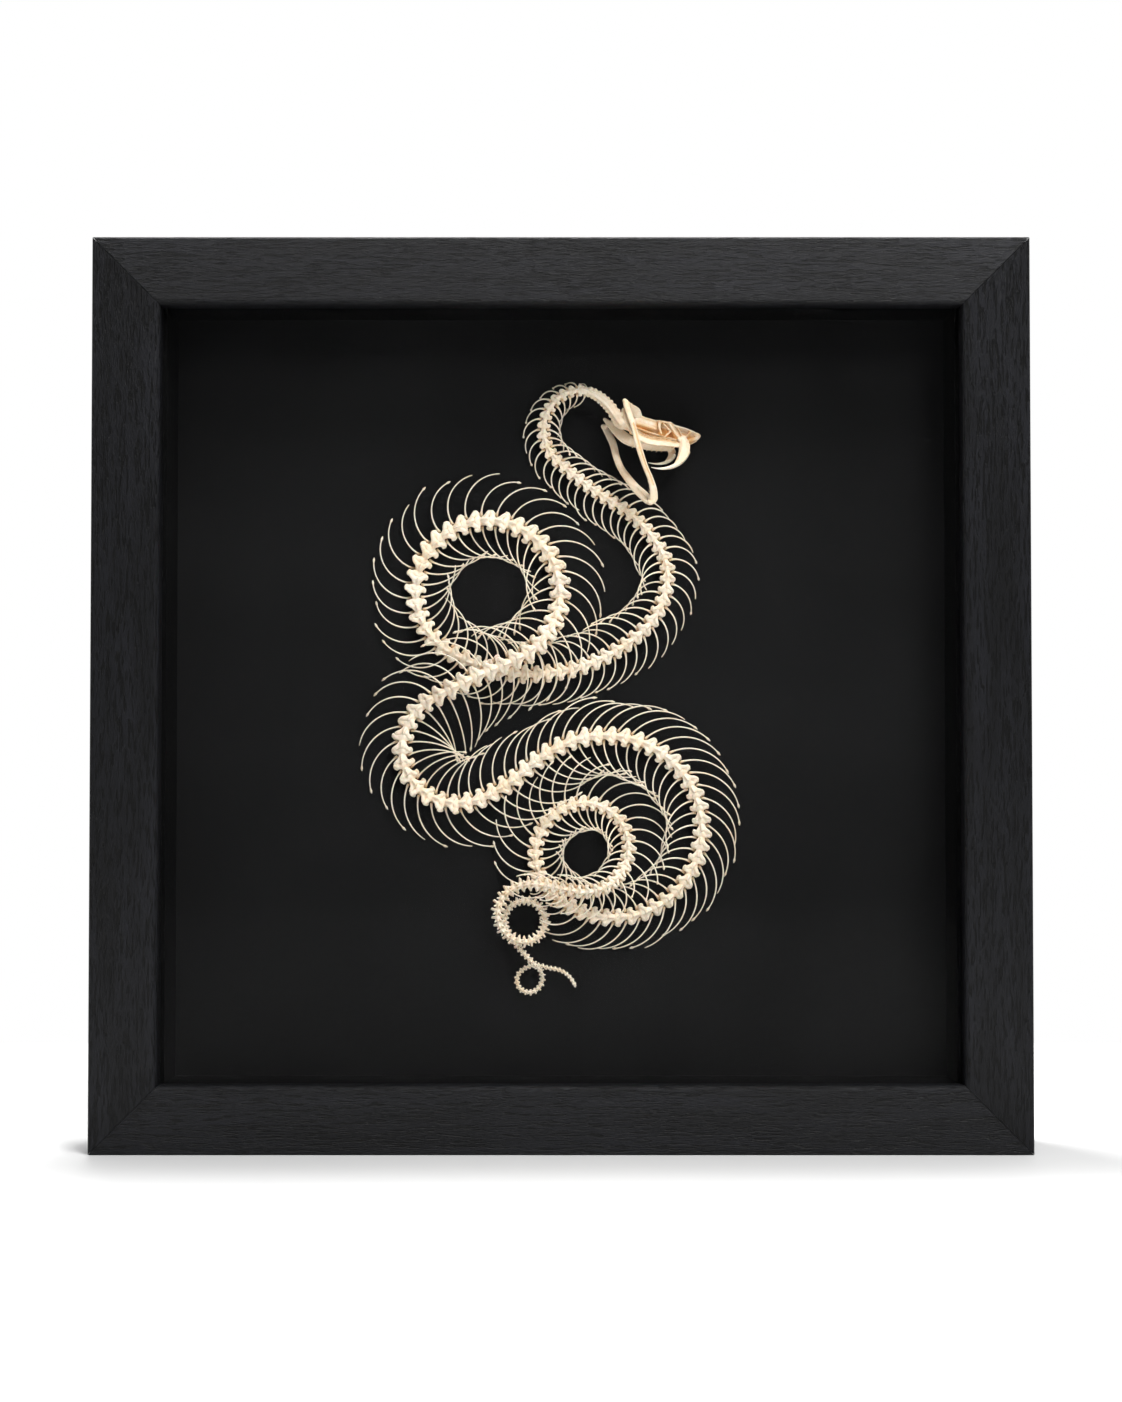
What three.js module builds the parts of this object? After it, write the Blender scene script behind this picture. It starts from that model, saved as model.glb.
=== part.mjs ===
// The skeleton of a pit viper, laid out in loops on a black board in a glazed black shadow box.
// Millimetres. +X is the viewer's right, +Y runs back into the box and +Z is up. The origin is the
// middle of the box's footprint, on the surface that the box stands on.
import * as THREE from "three";

// Shadow box
const BOX_WIDTH = 400;
const BOX_HEIGHT = 390;
const BOX_DEPTH = 50;
const RAIL_WIDTH = 29; // seen from the front
const RAIL_DEPTH = 45.2;
const BEVEL = 2.5; // slope along the rail's inner front edge
const BEVEL_KNEE = 0.7; // where the slope steepens, from the rail's inner edge
const ARRIS = 0.8; // eased front edges of a rail
const LIP_DEPTH = 9.2; // rail in front of the glass
const REBATE_WIDTH = 24; // rail beside and behind the glass
const GAP = 0.3; // between neighbouring pieces
const GLASS_FRONT = 9.5;
const GLASS_THICKNESS = 2;
const LINER_SIDE = 30.3; // inner face of the side liner strips, from the box's outer edge
const LINER_END = 28; // the same for the top and bottom strips
const BOARD_FRONT = 40;
const BOARD_THICKNESS = 4.9;
const PANEL_THICKNESS = 2.5; // fibreboard over the back
const PANEL_INSET = 4;
const SCREW_RADIUS = 3.2;
const SCREW_HEIGHT = 1.7;
const SCREW_CROWN = 0.6; // radius of a screw's top, as a part of its rim's
const HANGER_WIDTH = 45; // sawtooth plate for a nail, on the back
const HANGER_HEIGHT = 9;
const HANGER_THICKNESS = 1;
const HANGER_TEETH = 5;
const TOOTHED_SHARE = 0.7; // of the hanger's width
const HANGER_NOTCH = 1.4; // depth of a notch between two teeth
const HANGER_EAR = 3; // how far the plate's ends stand back from the teeth
const HANGER_DROP = 12; // below the back panel's top edge

// Backbone, from the skull to the tip of the tail. It starts at START and bends left (+) and right
// (-) as the viewer sees it, each bend a length and a turn in degrees that follow on smoothly.
const START = { x: 23, z: 319.1, heading: 122.5 };
const BENDS = [
  // arch of the neck and its way down to the right
  [9, 20.5], [23, 88], [26, 85], [32, 14], [31, -32], [11, -30], [27, -45],
  // back across to the left and round the great loop
  [92, -74], [48, -90], [121, -217],
  // over the neck and round the left bend
  [41, 7], [73, 173], [24, 20],
  // wide sweep over to the right and back
  [17, -13], [56, -72], [123, -180],
  // middle loop
  [47, -117], [71, -211], [16, 1],
  // small loop of the tail's root
  [12, 36], [31, 142], [49, 315], [20, 15],
  // tiny loop and the tip
  [12, -102], [16, -172], [11, -64], [4, 15], [14, -70],
];
// Height of the backbone's middle above the board: it rises to the skull and over each crossing.
const LEVELS = [
  [0, 13], [12, 12.2], [56, 5], [384, 5], [406, 12.8], [444, 12.8], [472, 5],
  [842, 5], [862, 11.3], [888, 11.3], [906, 8.6], [926, 8.4], [950, 4],
  [984, 4], [991, 5.8], [998, 5.8], [1008, 2.2], [1057, 2.2],
];
// Spacing and half-width of the vertebrae down the backbone: [distance, spacing, half-width].
const VERTEBRA_SIZES = [
  [0, 3.6, 2.3], [45, 4.2, 2.8], [132, 5, 3.3], [240, 5.5, 4], [290, 6.2, 4.5],
  [425, 6.2, 4.6], [510, 6, 4.4], [610, 5.9, 4.1], [700, 5.7, 3.8], [770, 4.9, 3.4],
  [850, 4.2, 3.1], [888, 3.4, 2.8], [930, 2.8, 2.3], [985, 2.2, 1.4], [1057, 1.8, 0.8],
];
// Ribs down the backbone: [distance, left rib, right rib], each rib its length and how many degrees
// it leans towards the tail at its root and at its tip.
const RIB_SHAPES = [
  [12, [6, -5, 88], [4, 0, 100]], [31, [11, -5, 88], [11, 5, 118]],
  [46, [14, 5, 96], [14, 5, 112]], [61, [17, 15, 110], [16, -5, 104]],
  [80, [18, 15, 110], [18, -5, 100]], [105, [18, 0, 110], [20, -5, 96]],
  [136, [19, 5, 98], [20, -8, 94]], [160, [20, 15, 96], [24, 0, 88]],
  [196, [22, 10, 110], [22, 0, 96]], [220, [23, 5, 106], [22, -5, 104]],
  [256, [26, 10, 104], [25, -5, 80]], [286, [27, 0, 102], [26, 0, 72]],
  [316, [28, -5, 96], [26, -5, 80]], [346, [28, 10, 110], [28, 10, 88]],
  [376, [29, 20, 112], [30, 5, 82]], [406, [28, 15, 88], [30, -5, 88]],
  [436, [29, -2, 64], [31, 0, 96]], [453, [26, -2, 26], [30, 10, 104]],
  [466, [28, -10, 26], [28, 20, 112]], [482, [29, -15, 33], [28, 26, 113]],
  [500, [25, -15, 32], [28, 30, 114]], [515, [27, -12, 60], [29, 24, 110]],
  [530, [28, -8, 78], [30, 15, 104]], [545, [29, 10, 98], [32, 10, 98]],
  [556, [30, 25, 120], [34, 5, 94]], [586, [34, 30, 128], [30, 5, 82]],
  [616, [32, 25, 112], [28, -10, 96]], [661, [28, 28, 118], [26, -5, 90]],
  [706, [26, 35, 112], [22, 0, 88]], [732, [26, 15, 106], [22, 5, 88]],
  [740, [19, 15, 106], [22, 4, 87]], [746, [12, 15, 100], [21, 3, 84]],
  [751, [12, 10, 96], [21, 2, 82]], [757, [24, 10, 98], [21, 0, 80]],
  [781, [28, 15, 96], [20, -5, 72]], [811, [24, 10, 96], [17, 0, 80]],
  [841, [20, 0, 96], [14, 0, 88]], [871, [14, 5, 104], [13, 25, 105]],
  [888, [6, 5, 100], [14, 55, 125]],
];
const FIRST_RIB = 12; // distance from the skull
const LAST_RIB = 888;
const FIRST_VERTEBRA = 1;
const WAIST = 0.62; // half-width between two vertebrae, as a part of the full half-width
const CREST = 0.75; // height of a vertebra in front of its middle, per half-width
const KEEL = 0.65; // and behind it
const STEADY_HEIGHT = 0.4; // part of a vertebra's height that doesn't shrink at its waist
const WAIST_PLACE = 0.45; // of the spacing, from a vertebra's middle to its waist
const LENGTHS = [
  ["neck", 0], ["trunk_1", 112], ["trunk_2", 256], ["trunk_3", 385], ["trunk_4", 560],
  ["trunk_5", 700], ["trunk_6", 806], ["tail_root", 890], ["tail_middle", 958], ["tail_tip", 1012],
];

// Ribs
const RIB_STEPS = 24;
const RIB_VARIETY = 0.1; // share by which lengths and bends differ between neighbours
const RIB_RINGS = [7, 15, 24]; // steps at which the solid has a ring
const SHORT_RIB = 12; // shorter ones have two rings
const SHORT_RIB_RINGS = [11, 24];
const RIB_ROOT_RADIUS = 0.52;
const RIB_TIP_RADIUS = 0.42;
const RIB_ROOT_PLACE = 0.5; // how far out and how far back a rib starts, per half-width of its vertebra
const RIB_ROOT_DROP = 0.3;
const RIB_SHORTENING = 0.93; // each time a rib finds no free height
const SHORTEST_RIB = 0.3; // as a part of its planned length
const ROOT_PART = 0.1; // part of a rib beside its root that meets nothing
const RIB_BOW = 1.2; // arch of a rib in front of the line from root to tip
const RIB_CLEARANCE = 1; // height between two ribs that cross
const RIB_REACH = 1.2; // sideways distance within which they count as crossing
const TIP_LOWEST = 0.9; // above the board
const TIP_HIGHEST = 15;
const TIP_STEP = 0.5;
const OWN_STRETCH = 16; // part of the backbone on each side of a rib's root that it can't meet
const FARTHEST_MEETING = 45; // between a rib's root and a vertebra that the rib may cross
const VERTEBRA_MARGIN = 1.4; // sideways room beside a vertebra that a rib crosses

// Skull: its own frame has +X to the snout, +Y to the animal's left, +Z to its crown.
const OCCIPUT = { x: 26.7, depth: 26.5, z: 317.3 };
const SKULL_YAW = 17.5;
const SKULL_PITCH = 11;
const SKULL_ROLL = -17;
// Braincase, face and snout as one bone: [x, half-width, crown height, floor height].
const CRANIUM = [
  [-1.2, 1.6, 0.6, -2.2], [1.5, 3.6, 2, -4.6], [6, 4.6, 2.4, -5.4], [11, 4, 1.9, -5],
  [16, 3, 1.4, -4.6], [18.5, 4.2, 1.2, -3.6], [23, 3, 1.3, -3.4], [27.5, 4, 1.1, -4],
  [32.5, 3, 0.6, -3.4], [36.6, 1, -0.4, -1.8],
];
// Section of the cranium: heights as parts of the way to its crown or floor, widths as parts of its
// half-width.
const TEMPLE_HEIGHT = 0.45;
const CHEEK_DEPTH = 0.5;
const CROWN_WIDTH = 0.55;
const CHEEK_WIDTH = 0.9;
const FLOOR_WIDTH = 0.4;
// Bones of each side as rods through [x, distance out from the middle, z, radius]. The two fangs
// stand at different angles. A fang is a quarter of an ellipse from its root back to its tip.
const SIDES = [
  {
    name: "right",
    sign: -1,
    quadrate: [[5.2, 5.6, 1.2, 0.8], [2, 8, 1.6, 1.1], [-1.6, 11.2, 1.1, 1], [-3.3, 13, 0.7, 1.1]],
    mandible: [
      [-3.5, 13.2, -2.1, 1.1], [2.1, 11, -10.6, 1.5], [7.5, 8, -20.5, 1.5], [13.5, 5, -29, 1.5],
      [17.1, 1.7, -37, 1.2],
    ],
    palate: [
      [-2.5, 9.7, -2.8, 0.8], [1.6, 7.8, -8.4, 1.2], [6.6, 6, -10.9, 1.5], [13.2, 4.8, -11, 1.5],
      [20, 4.4, -9.9, 1.3], [25, 4.2, -9.3, 0.7],
    ],
    fang: { root: [29.9, 5.6, -9.4], tip: [13.4, -24.3], radius: 1.25 },
  },
  {
    name: "left",
    sign: 1,
    quadrate: [[5.2, 5.6, 1.2, 0.8], [2, 8, 1.6, 1.1], [-1.6, 11.4, 1.7, 1], [-3.1, 13.1, 1.9, 1.1]],
    mandible: [
      [-3.3, 13.3, -0.9, 1.1], [1.1, 11.3, -8.8, 1.7], [4.5, 8.6, -20.5, 1.7], [10.9, 4.6, -30.4, 1.5],
      [17.1, 1.4, -37.1, 1.1],
    ],
    palate: [
      [-4.4, 9.8, 1.2, 0.8], [-0.4, 8, -2.2, 1.1], [4.4, 5.8, -6.4, 1.3], [12, 4.4, -9, 1.2],
      [20, 4, -8.7, 1], [24.4, 3.9, -7.9, 0.7],
    ],
    fang: { root: [27.6, 5.4, -8.6], tip: [15.8, -16.4], radius: 0.85 },
  },
];
const FANG_STEPS = 7;
const FANG_TIP_RADIUS = 0.3;

const MATERIALS = {
  wood: new THREE.MeshStandardMaterial({ color: 0x232324, roughness: 0.5, metalness: 0 }),
  glass: new THREE.MeshStandardMaterial({ color: 0xeef2f2, roughness: 0.05, metalness: 0 }),
  card: new THREE.MeshStandardMaterial({ color: 0x1d1d1e, roughness: 0.9, metalness: 0 }),
  fibreboard: new THREE.MeshStandardMaterial({ color: 0x6f5238, roughness: 0.85, metalness: 0 }),
  steel: new THREE.MeshStandardMaterial({ color: 0xa8a8a8, roughness: 0.35, metalness: 1 }),
  bone: new THREE.MeshStandardMaterial({ color: 0xe9dfc9, roughness: 0.5, metalness: 0 }),
};

const model = new THREE.Group();
const radians = THREE.MathUtils.degToRad;
const yAt = (depth) => depth - BOX_DEPTH / 2;
const boardY = yAt(BOARD_FRONT);

// ---- closed faceted solids ----

// A closed solid of points and triangles, turned so that its faces point out.
function closedSolid(points, triangles) {
  const volume = triangles.reduce((sum, [a, b, c]) => {
    const cross = new THREE.Vector3().crossVectors(points[b], points[c]);
    return sum + points[a].dot(cross);
  }, 0);
  const outward = volume > 0 ? triangles : triangles.map(([a, b, c]) => [a, c, b]);
  const geometry = new THREE.BufferGeometry();
  const coordinates = points.flatMap((point) => point.toArray());
  geometry.setAttribute("position", new THREE.Float32BufferAttribute(coordinates, 3));
  geometry.setIndex(outward.flat());
  geometry.computeVertexNormals();
  return geometry;
}

// A solid through rings of equally many points; its ends are closed by the outline's triangles.
function ringSolid(rings, endTriangles) {
  const count = rings[0].length;
  const triangles = [];
  for (let ring = 0; ring + 1 < rings.length; ring += 1) {
    for (let side = 0; side < count; side += 1) {
      const a = ring * count + side;
      const b = ring * count + ((side + 1) % count);
      triangles.push([a, b, b + count], [a, b + count, a + count]);
    }
  }
  const last = (rings.length - 1) * count;
  for (const [a, b, c] of endTriangles) {
    triangles.push([a, c, b], [last + a, last + b, last + c]);
  }
  return closedSolid(rings.flat(), triangles);
}

// Triangles that close a convex ring.
function fan(count) {
  return Array.from({ length: count - 2 }, (_, i) => [0, i + 1, i + 2]);
}

function add(name, geometry, material, parent = model) {
  const mesh = new THREE.Mesh(geometry, material);
  mesh.name = name;
  parent.add(mesh);
  return mesh;
}

function slab(name, width, height, thickness, depth, material) {
  const mesh = add(name, new THREE.BoxGeometry(width, thickness, height), material);
  mesh.position.set(0, yAt(depth) + thickness / 2, BOX_HEIGHT / 2);
  return mesh;
}

// ---- shadow box ----

// A frame member along X, centred, for the bottom of a box: its outline is (distance in from the
// outer edge, depth), and its ends are mitred or, with a fixed setback, square.
function member(length, outline, setback) {
  const flat = outline.map(([inward, depth]) => new THREE.Vector2(inward, depth));
  const ends = THREE.ShapeUtils.triangulateShape(flat, []);
  const ring = (side) => outline.map(([inward, depth]) => {
    const along = length / 2 - setback(inward);
    return new THREE.Vector3(side * along, yAt(depth), inward);
  });
  return ringSolid([ring(-1), ring(1)], ends);
}

function placeMember(mesh, place) {
  const turn = { bottom: 0, right: 90, top: 180, left: 270 }[place];
  const across = place === "left" || place === "right" ? BOX_WIDTH : BOX_HEIGHT;
  mesh.rotation.y = radians(-turn);
  const offset = new THREE.Vector3(0, 0, -across / 2).applyEuler(mesh.rotation);
  mesh.position.set(offset.x, 0, BOX_HEIGHT / 2 + offset.z);
}

const RAIL_OUTLINE = [
  [0, ARRIS], [ARRIS, 0], [RAIL_WIDTH - BEVEL, 0], [RAIL_WIDTH - BEVEL_KNEE, ARRIS],
  [RAIL_WIDTH, BEVEL],
  [RAIL_WIDTH, LIP_DEPTH], [REBATE_WIDTH, LIP_DEPTH], [REBATE_WIDTH, RAIL_DEPTH], [0, RAIL_DEPTH],
];

function makeRails() {
  const mitre = (inward) => inward + GAP / Math.SQRT2;
  for (const place of ["bottom", "right", "top", "left"]) {
    const length = place === "bottom" || place === "top" ? BOX_WIDTH : BOX_HEIGHT;
    placeMember(add(`rail_${place}`, member(length, RAIL_OUTLINE, mitre), MATERIALS.wood), place);
  }
}

function makeLiners() {
  const front = GLASS_FRONT + GLASS_THICKNESS + GAP;
  const back = BOARD_FRONT - GAP;
  const strip = (inner) => [
    [REBATE_WIDTH + GAP, front], [inner, front], [inner, back], [REBATE_WIDTH + GAP, back],
  ];
  for (const place of ["bottom", "top"]) {
    const geometry = member(BOX_WIDTH, strip(LINER_END), () => REBATE_WIDTH + GAP);
    placeMember(add(`liner_${place}`, geometry, MATERIALS.card), place);
  }
  for (const place of ["right", "left"]) {
    const geometry = member(BOX_HEIGHT, strip(LINER_SIDE), () => LINER_END + GAP);
    placeMember(add(`liner_${place}`, geometry, MATERIALS.card), place);
  }
}

function makeBoards() {
  const width = BOX_WIDTH - 2 * (REBATE_WIDTH + GAP);
  const height = BOX_HEIGHT - 2 * (REBATE_WIDTH + GAP);
  slab("glass_pane", width, height, GLASS_THICKNESS, GLASS_FRONT, MATERIALS.glass);
  slab("backing_board", width, height, BOARD_THICKNESS, BOARD_FRONT, MATERIALS.card);
  slab("back_panel", BOX_WIDTH - 2 * PANEL_INSET, BOX_HEIGHT - 2 * PANEL_INSET, PANEL_THICKNESS,
    RAIL_DEPTH + GAP, MATERIALS.fibreboard);
}

function makeBackFittings() {
  const behindPanel = yAt(RAIL_DEPTH + PANEL_THICKNESS + 2 * GAP);
  const screwX = BOX_WIDTH / 2 - RAIL_WIDTH / 2;
  const screwZ = BOX_HEIGHT / 2 - RAIL_WIDTH / 2;
  let number = 0;
  for (const column of [-1, 1]) {
    for (const row of [-1, 0, 1]) {
      number += 1;
      const head = new THREE.CylinderGeometry(
        SCREW_RADIUS * SCREW_CROWN, SCREW_RADIUS, SCREW_HEIGHT, 8);
      const screw = add(`screw_${number}`, head, MATERIALS.steel);
      screw.position.set(column * screwX, behindPanel + SCREW_HEIGHT / 2, BOX_HEIGHT / 2 + row * screwZ);
    }
  }
  const half = HANGER_WIDTH / 2;
  const tooth = HANGER_WIDTH * TOOTHED_SHARE / HANGER_TEETH;
  const outline = [[-half, HANGER_HEIGHT], [-half, HANGER_EAR]];
  for (let i = 0; i <= HANGER_TEETH; i += 1) {
    const x = (i - HANGER_TEETH / 2) * tooth;
    outline.push([x, 0]);
    if (i < HANGER_TEETH) outline.push([x + tooth / 2, HANGER_NOTCH]);
  }
  outline.push([half, HANGER_EAR], [half, HANGER_HEIGHT]);
  const shape = new THREE.Shape(outline.map(([x, z]) => new THREE.Vector2(x, z)));
  const plate = new THREE.ExtrudeGeometry(shape, { depth: HANGER_THICKNESS, bevelEnabled: false });
  const hanger = add("sawtooth_hanger", plate, MATERIALS.steel);
  const hangerZ = BOX_HEIGHT - PANEL_INSET - HANGER_DROP - HANGER_HEIGHT;
  hanger.rotation.x = Math.PI / 2;
  hanger.position.set(0, behindPanel + HANGER_THICKNESS, hangerZ);
}

// ---- course of the backbone ----

function bendStarts() {
  let state = { at: 0, x: START.x, z: START.z, heading: radians(START.heading) };
  return BENDS.map(([length, turn]) => {
    const bend = { ...state, length, turn: radians(turn) };
    const end = alongBend(bend, length);
    state = { at: state.at + length, x: end.x, z: end.z, heading: end.heading };
    return bend;
  });
}

function alongBend(bend, distance) {
  const angle = bend.turn * distance / bend.length;
  const chord = 2 * (bend.length / bend.turn) * Math.sin(angle / 2);
  return {
    x: bend.x + chord * Math.cos(bend.heading + angle / 2),
    z: bend.z + chord * Math.sin(bend.heading + angle / 2),
    heading: bend.heading + angle,
  };
}

const bends = bendStarts();
const lastBend = bends.at(-1);
const BODY_LENGTH = lastBend.at + lastBend.length;

// Value at a distance down the backbone, from a list of [distance, value].
function between(pairs, at, ease = (t) => t) {
  const next = pairs.findIndex(([distance]) => distance >= at);
  if (next <= 0) return next === 0 ? pairs[0][1] : pairs.at(-1)[1];
  const [fromAt, from] = pairs[next - 1];
  const [toAt, to] = pairs[next];
  return from + (to - from) * ease((at - fromAt) / (toAt - fromAt));
}

const smooth = (t) => t * t * (3 - 2 * t);
const pitchAt = (at) => between(VERTEBRA_SIZES.map(([from, pitch]) => [from, pitch]), at);
const halfAt = (at) => between(VERTEBRA_SIZES.map(([from, , half]) => [from, half]), at);

// Length and lean at root and tip of the rib on the left (+1) or right (-1).
function ribShape(at, side) {
  return [0, 1, 2].map((value) => (
    between(RIB_SHAPES.map(([from, left, right]) => [from, (side > 0 ? left : right)[value]]), at)));
}

// Where the backbone is at a distance from the skull, and how thick.
function station(at) {
  const bend = bends.findLast((candidate) => candidate.at <= at) ?? bends[0];
  const place = alongBend(bend, at - bend.at);
  const level = between(LEVELS, at, smooth);
  return { at, ...place, level, half: halfAt(at), pitch: pitchAt(at) };
}

function makeVertebrae() {
  const list = [];
  let at = FIRST_VERTEBRA;
  while (at < BODY_LENGTH - 1) {
    list.push(station(at));
    at += pitchAt(at);
  }
  return list;
}

const vertebrae = makeVertebrae();

// ---- ribs ----

// A number from 0 to 1 that looks random and is always the same for the same seed.
function scatter(seed) {
  const value = Math.sin(seed * 12.9898) * 43758.5453;
  return value - Math.floor(value);
}

// The rib's course seen from the front: points, and the direction at each.
function ribPlan(root, index, side, scale) {
  const seed = index * 2 + (side > 0 ? 1 : 0);
  const [length, rootLean, tipLean] = ribShape(root.at, side);
  const step = length * scale * (1 + RIB_VARIETY * (scatter(seed) - 0.5)) / RIB_STEPS;
  const bend = (tipLean - rootLean) * (1 + RIB_VARIETY * (scatter(seed + 0.5) - 0.5));
  const direction = (t) => root.heading + side * radians(90 - rootLean - bend * t);
  let x = root.x - side * root.half * RIB_ROOT_PLACE * Math.sin(root.heading);
  let z = root.z + side * root.half * RIB_ROOT_PLACE * Math.cos(root.heading);
  const points = [{ x, z, angle: direction(0), t: 0 }];
  for (let i = 0; i < RIB_STEPS; i += 1) {
    const middle = direction((i + 0.5) / RIB_STEPS);
    x += step * Math.cos(middle);
    z += step * Math.sin(middle);
    points.push({ x, z, angle: direction((i + 1) / RIB_STEPS), t: (i + 1) / RIB_STEPS });
  }
  return points;
}

const ribHeight = (root, tip, t) => root + (tip - root) * t + RIB_BOW * Math.sin(Math.PI * t);

// Ribs laid so far, kept by square millimetre.
const laid = new Map();
const cell = (x, z) => `${Math.round(x)},${Math.round(z)}`;

function obstacles(plan, root) {
  const found = [];
  for (const point of plan.filter(({ t }) => t > ROOT_PART)) {
    for (let dx = -2; dx <= 2; dx += 1) {
      for (let dz = -2; dz <= 2; dz += 1) {
        for (const other of laid.get(cell(point.x + dx, point.z + dz)) ?? []) {
          if (Math.hypot(other.x - point.x, other.z - point.z) < RIB_REACH) {
            found.push({ t: point.t, height: other.height, clearance: RIB_CLEARANCE });
          }
        }
      }
    }
  }
  for (const bone of vertebrae) {
    if (Math.abs(bone.at - root.at) < OWN_STRETCH) continue;
    if (Math.hypot(bone.x - root.x, bone.z - root.z) > FARTHEST_MEETING) continue;
    for (const point of plan) {
      if (Math.hypot(bone.x - point.x, bone.z - point.z) < bone.half + VERTEBRA_MARGIN) {
        const clearance = bone.half * CREST + RIB_CLEARANCE;
        found.push({ t: point.t, height: bone.level, clearance });
      }
    }
  }
  return found;
}

// Lets a rib down towards the board until it clears all that is laid already. A rib that finds
// no free height is shortened and tried again.
function layRib(root, index, side) {
  const rootHeight = root.level - RIB_ROOT_DROP * root.half;
  for (let scale = 1; scale > SHORTEST_RIB; scale *= RIB_SHORTENING) {
    const plan = ribPlan(root, index, side, scale);
    const near = obstacles(plan, root);
    for (let tip = TIP_LOWEST; tip < TIP_HIGHEST; tip += TIP_STEP) {
      const clear = near.every(({ t, height, clearance }) => (
        Math.abs(ribHeight(rootHeight, tip, t) - height) >= clearance));
      if (clear) {
        const points = plan.map((point) => ({ ...point, height: ribHeight(rootHeight, tip, point.t) }));
        for (const point of points) {
          const key = cell(point.x, point.z);
          if (!laid.has(key)) laid.set(key, []);
          laid.get(key).push(point);
        }
        return { points, length: scale * ribShape(root.at, side)[0] };
      }
    }
  }
  return null;
}

function layRibs() {
  vertebrae.forEach((root, index) => {
    root.ribs = [1, -1].map((side) => (
      root.at < FIRST_RIB || root.at > LAST_RIB ? null : layRib(root, index, side)));
  });
}

// ---- lengths of the backbone with their ribs ----

const spot = (x, height, z) => new THREE.Vector3(x, boardY - height, z);

// Left, front, right and back corner of the backbone.
function spineRing(at, widthScale) {
  const { x, z, heading, level, half } = station(at);
  const width = half * widthScale;
  const height = half * (STEADY_HEIGHT + (1 - STEADY_HEIGHT) * widthScale);
  const flank = (side) => spot(
    x - side * width * Math.sin(heading), level, z + side * width * Math.cos(heading));
  return [flank(1), spot(x, level + CREST * height, z), flank(-1), spot(x, level - KEEL * height, z)];
}

// Rings from head to tail: the waist before the first vertebra, then each one's middle and waist.
function spineRings(bones) {
  const first = bones[0];
  const rings = [spineRing(first.at - 0.5 * first.pitch + GAP, WAIST)];
  for (const bone of bones) {
    const last = bone === bones.at(-1);
    const waist = last ? 0.5 * bone.pitch - GAP : WAIST_PLACE * bone.pitch;
    rings.push(spineRing(bone.at, 1), spineRing(bone.at + waist, WAIST));
  }
  return rings;
}

// Three corners of a rib at one of its points, from the board side, headward and tailward.
function ribRing(point, side) {
  const radius = RIB_ROOT_RADIUS + (RIB_TIP_RADIUS - RIB_ROOT_RADIUS) * point.t;
  const across = point.angle + side * Math.PI / 2;
  const corner = (angle) => spot(
    point.x + radius * Math.sin(angle) * Math.cos(across),
    point.height - radius * Math.cos(angle),
    point.z + radius * Math.sin(angle) * Math.sin(across),
  );
  return [corner(0), corner(2 * Math.PI / 3), corner(-2 * Math.PI / 3)];
}

// One closed body: the backbone's rings, with the ribs grown out of the faces on the board side.
function trunkGeometry(bones) {
  const points = [];
  const triangles = [];
  const push = (list) => {
    points.push(...list);
    return points.length - list.length;
  };
  const growRib = (root, rib, side) => {
    let base = root;
    for (const step of rib.length < SHORT_RIB ? SHORT_RIB_RINGS : RIB_RINGS) {
      const first = push(ribRing(rib.points[step], side));
      const ring = [first, first + 1, first + 2];
      for (let i = 0; i < 3; i += 1) {
        const j = (i + 1) % 3;
        triangles.push([base[i], base[j], ring[j]], [base[i], ring[j], ring[i]]);
      }
      base = ring;
    }
    triangles.push(base);
  };
  const starts = spineRings(bones).map(push);
  const strip = (from, to, i, j) => {
    triangles.push([from + i, from + j, to + j], [from + i, to + j, to + i]);
  };
  const [left, front, right, back] = [0, 1, 2, 3];
  bones.forEach((bone, index) => {
    const [before, middle, waist] = starts.slice(2 * index, 2 * index + 3);
    for (let i = 0; i < 4; i += 1) strip(before, middle, i, (i + 1) % 4);
    strip(middle, waist, left, front);
    strip(middle, waist, front, right);
    triangles.push([middle + back, waist + left, waist + back]);
    triangles.push([middle + back, waist + back, waist + right]);
    const roots = [
      [middle + back, middle + left, waist + left],
      [middle + back, waist + right, middle + right],
    ];
    bone.ribs.forEach((rib, i) => {
      if (rib) growRib(roots[i], rib, i === 0 ? 1 : -1);
      else triangles.push(roots[i]);
    });
  });
  const head = starts[0];
  const tail = starts.at(-1);
  for (const [a, b, c] of fan(4)) {
    triangles.push([head + a, head + c, head + b], [tail + a, tail + b, tail + c]);
  }
  return closedSolid(points, triangles);
}

// Tail vertebrae carry no ribs, and their board side is flat.
function tailGeometry(bones) {
  return ringSolid(spineRings(bones).map((ring) => ring.slice(0, 3)), fan(3));
}

function makeBody() {
  layRibs();
  LENGTHS.forEach(([name, from], index) => {
    const to = LENGTHS[index + 1]?.[1] ?? Infinity;
    const bones = vertebrae.filter(({ at }) => at >= from && at < to);
    add(name, name.startsWith("tail") ? tailGeometry(bones) : trunkGeometry(bones), MATERIALS.bone);
  });
}

// ---- skull ----

// A closed rod of round section through a few knots, each [x, y, z, radius].
function rod(knots, sides, steps) {
  const curve = new THREE.CatmullRomCurve3(knots.map(([x, y, z]) => new THREE.Vector3(x, y, z)));
  const frames = curve.computeFrenetFrames(steps);
  const rings = [];
  for (let i = 0; i <= steps; i += 1) {
    const centre = curve.getPoint(i / steps);
    const along = i / steps * (knots.length - 1);
    const knot = Math.min(Math.floor(along), knots.length - 2);
    const radius = THREE.MathUtils.lerp(knots[knot][3], knots[knot + 1][3], along - knot);
    rings.push(Array.from({ length: sides }, (_, side) => {
      const angle = 2 * Math.PI * side / sides;
      return centre.clone()
        .addScaledVector(frames.normals[i], radius * Math.cos(angle))
        .addScaledVector(frames.binormals[i], radius * Math.sin(angle));
    }));
  }
  return ringSolid(rings, fan(sides));
}

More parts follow.
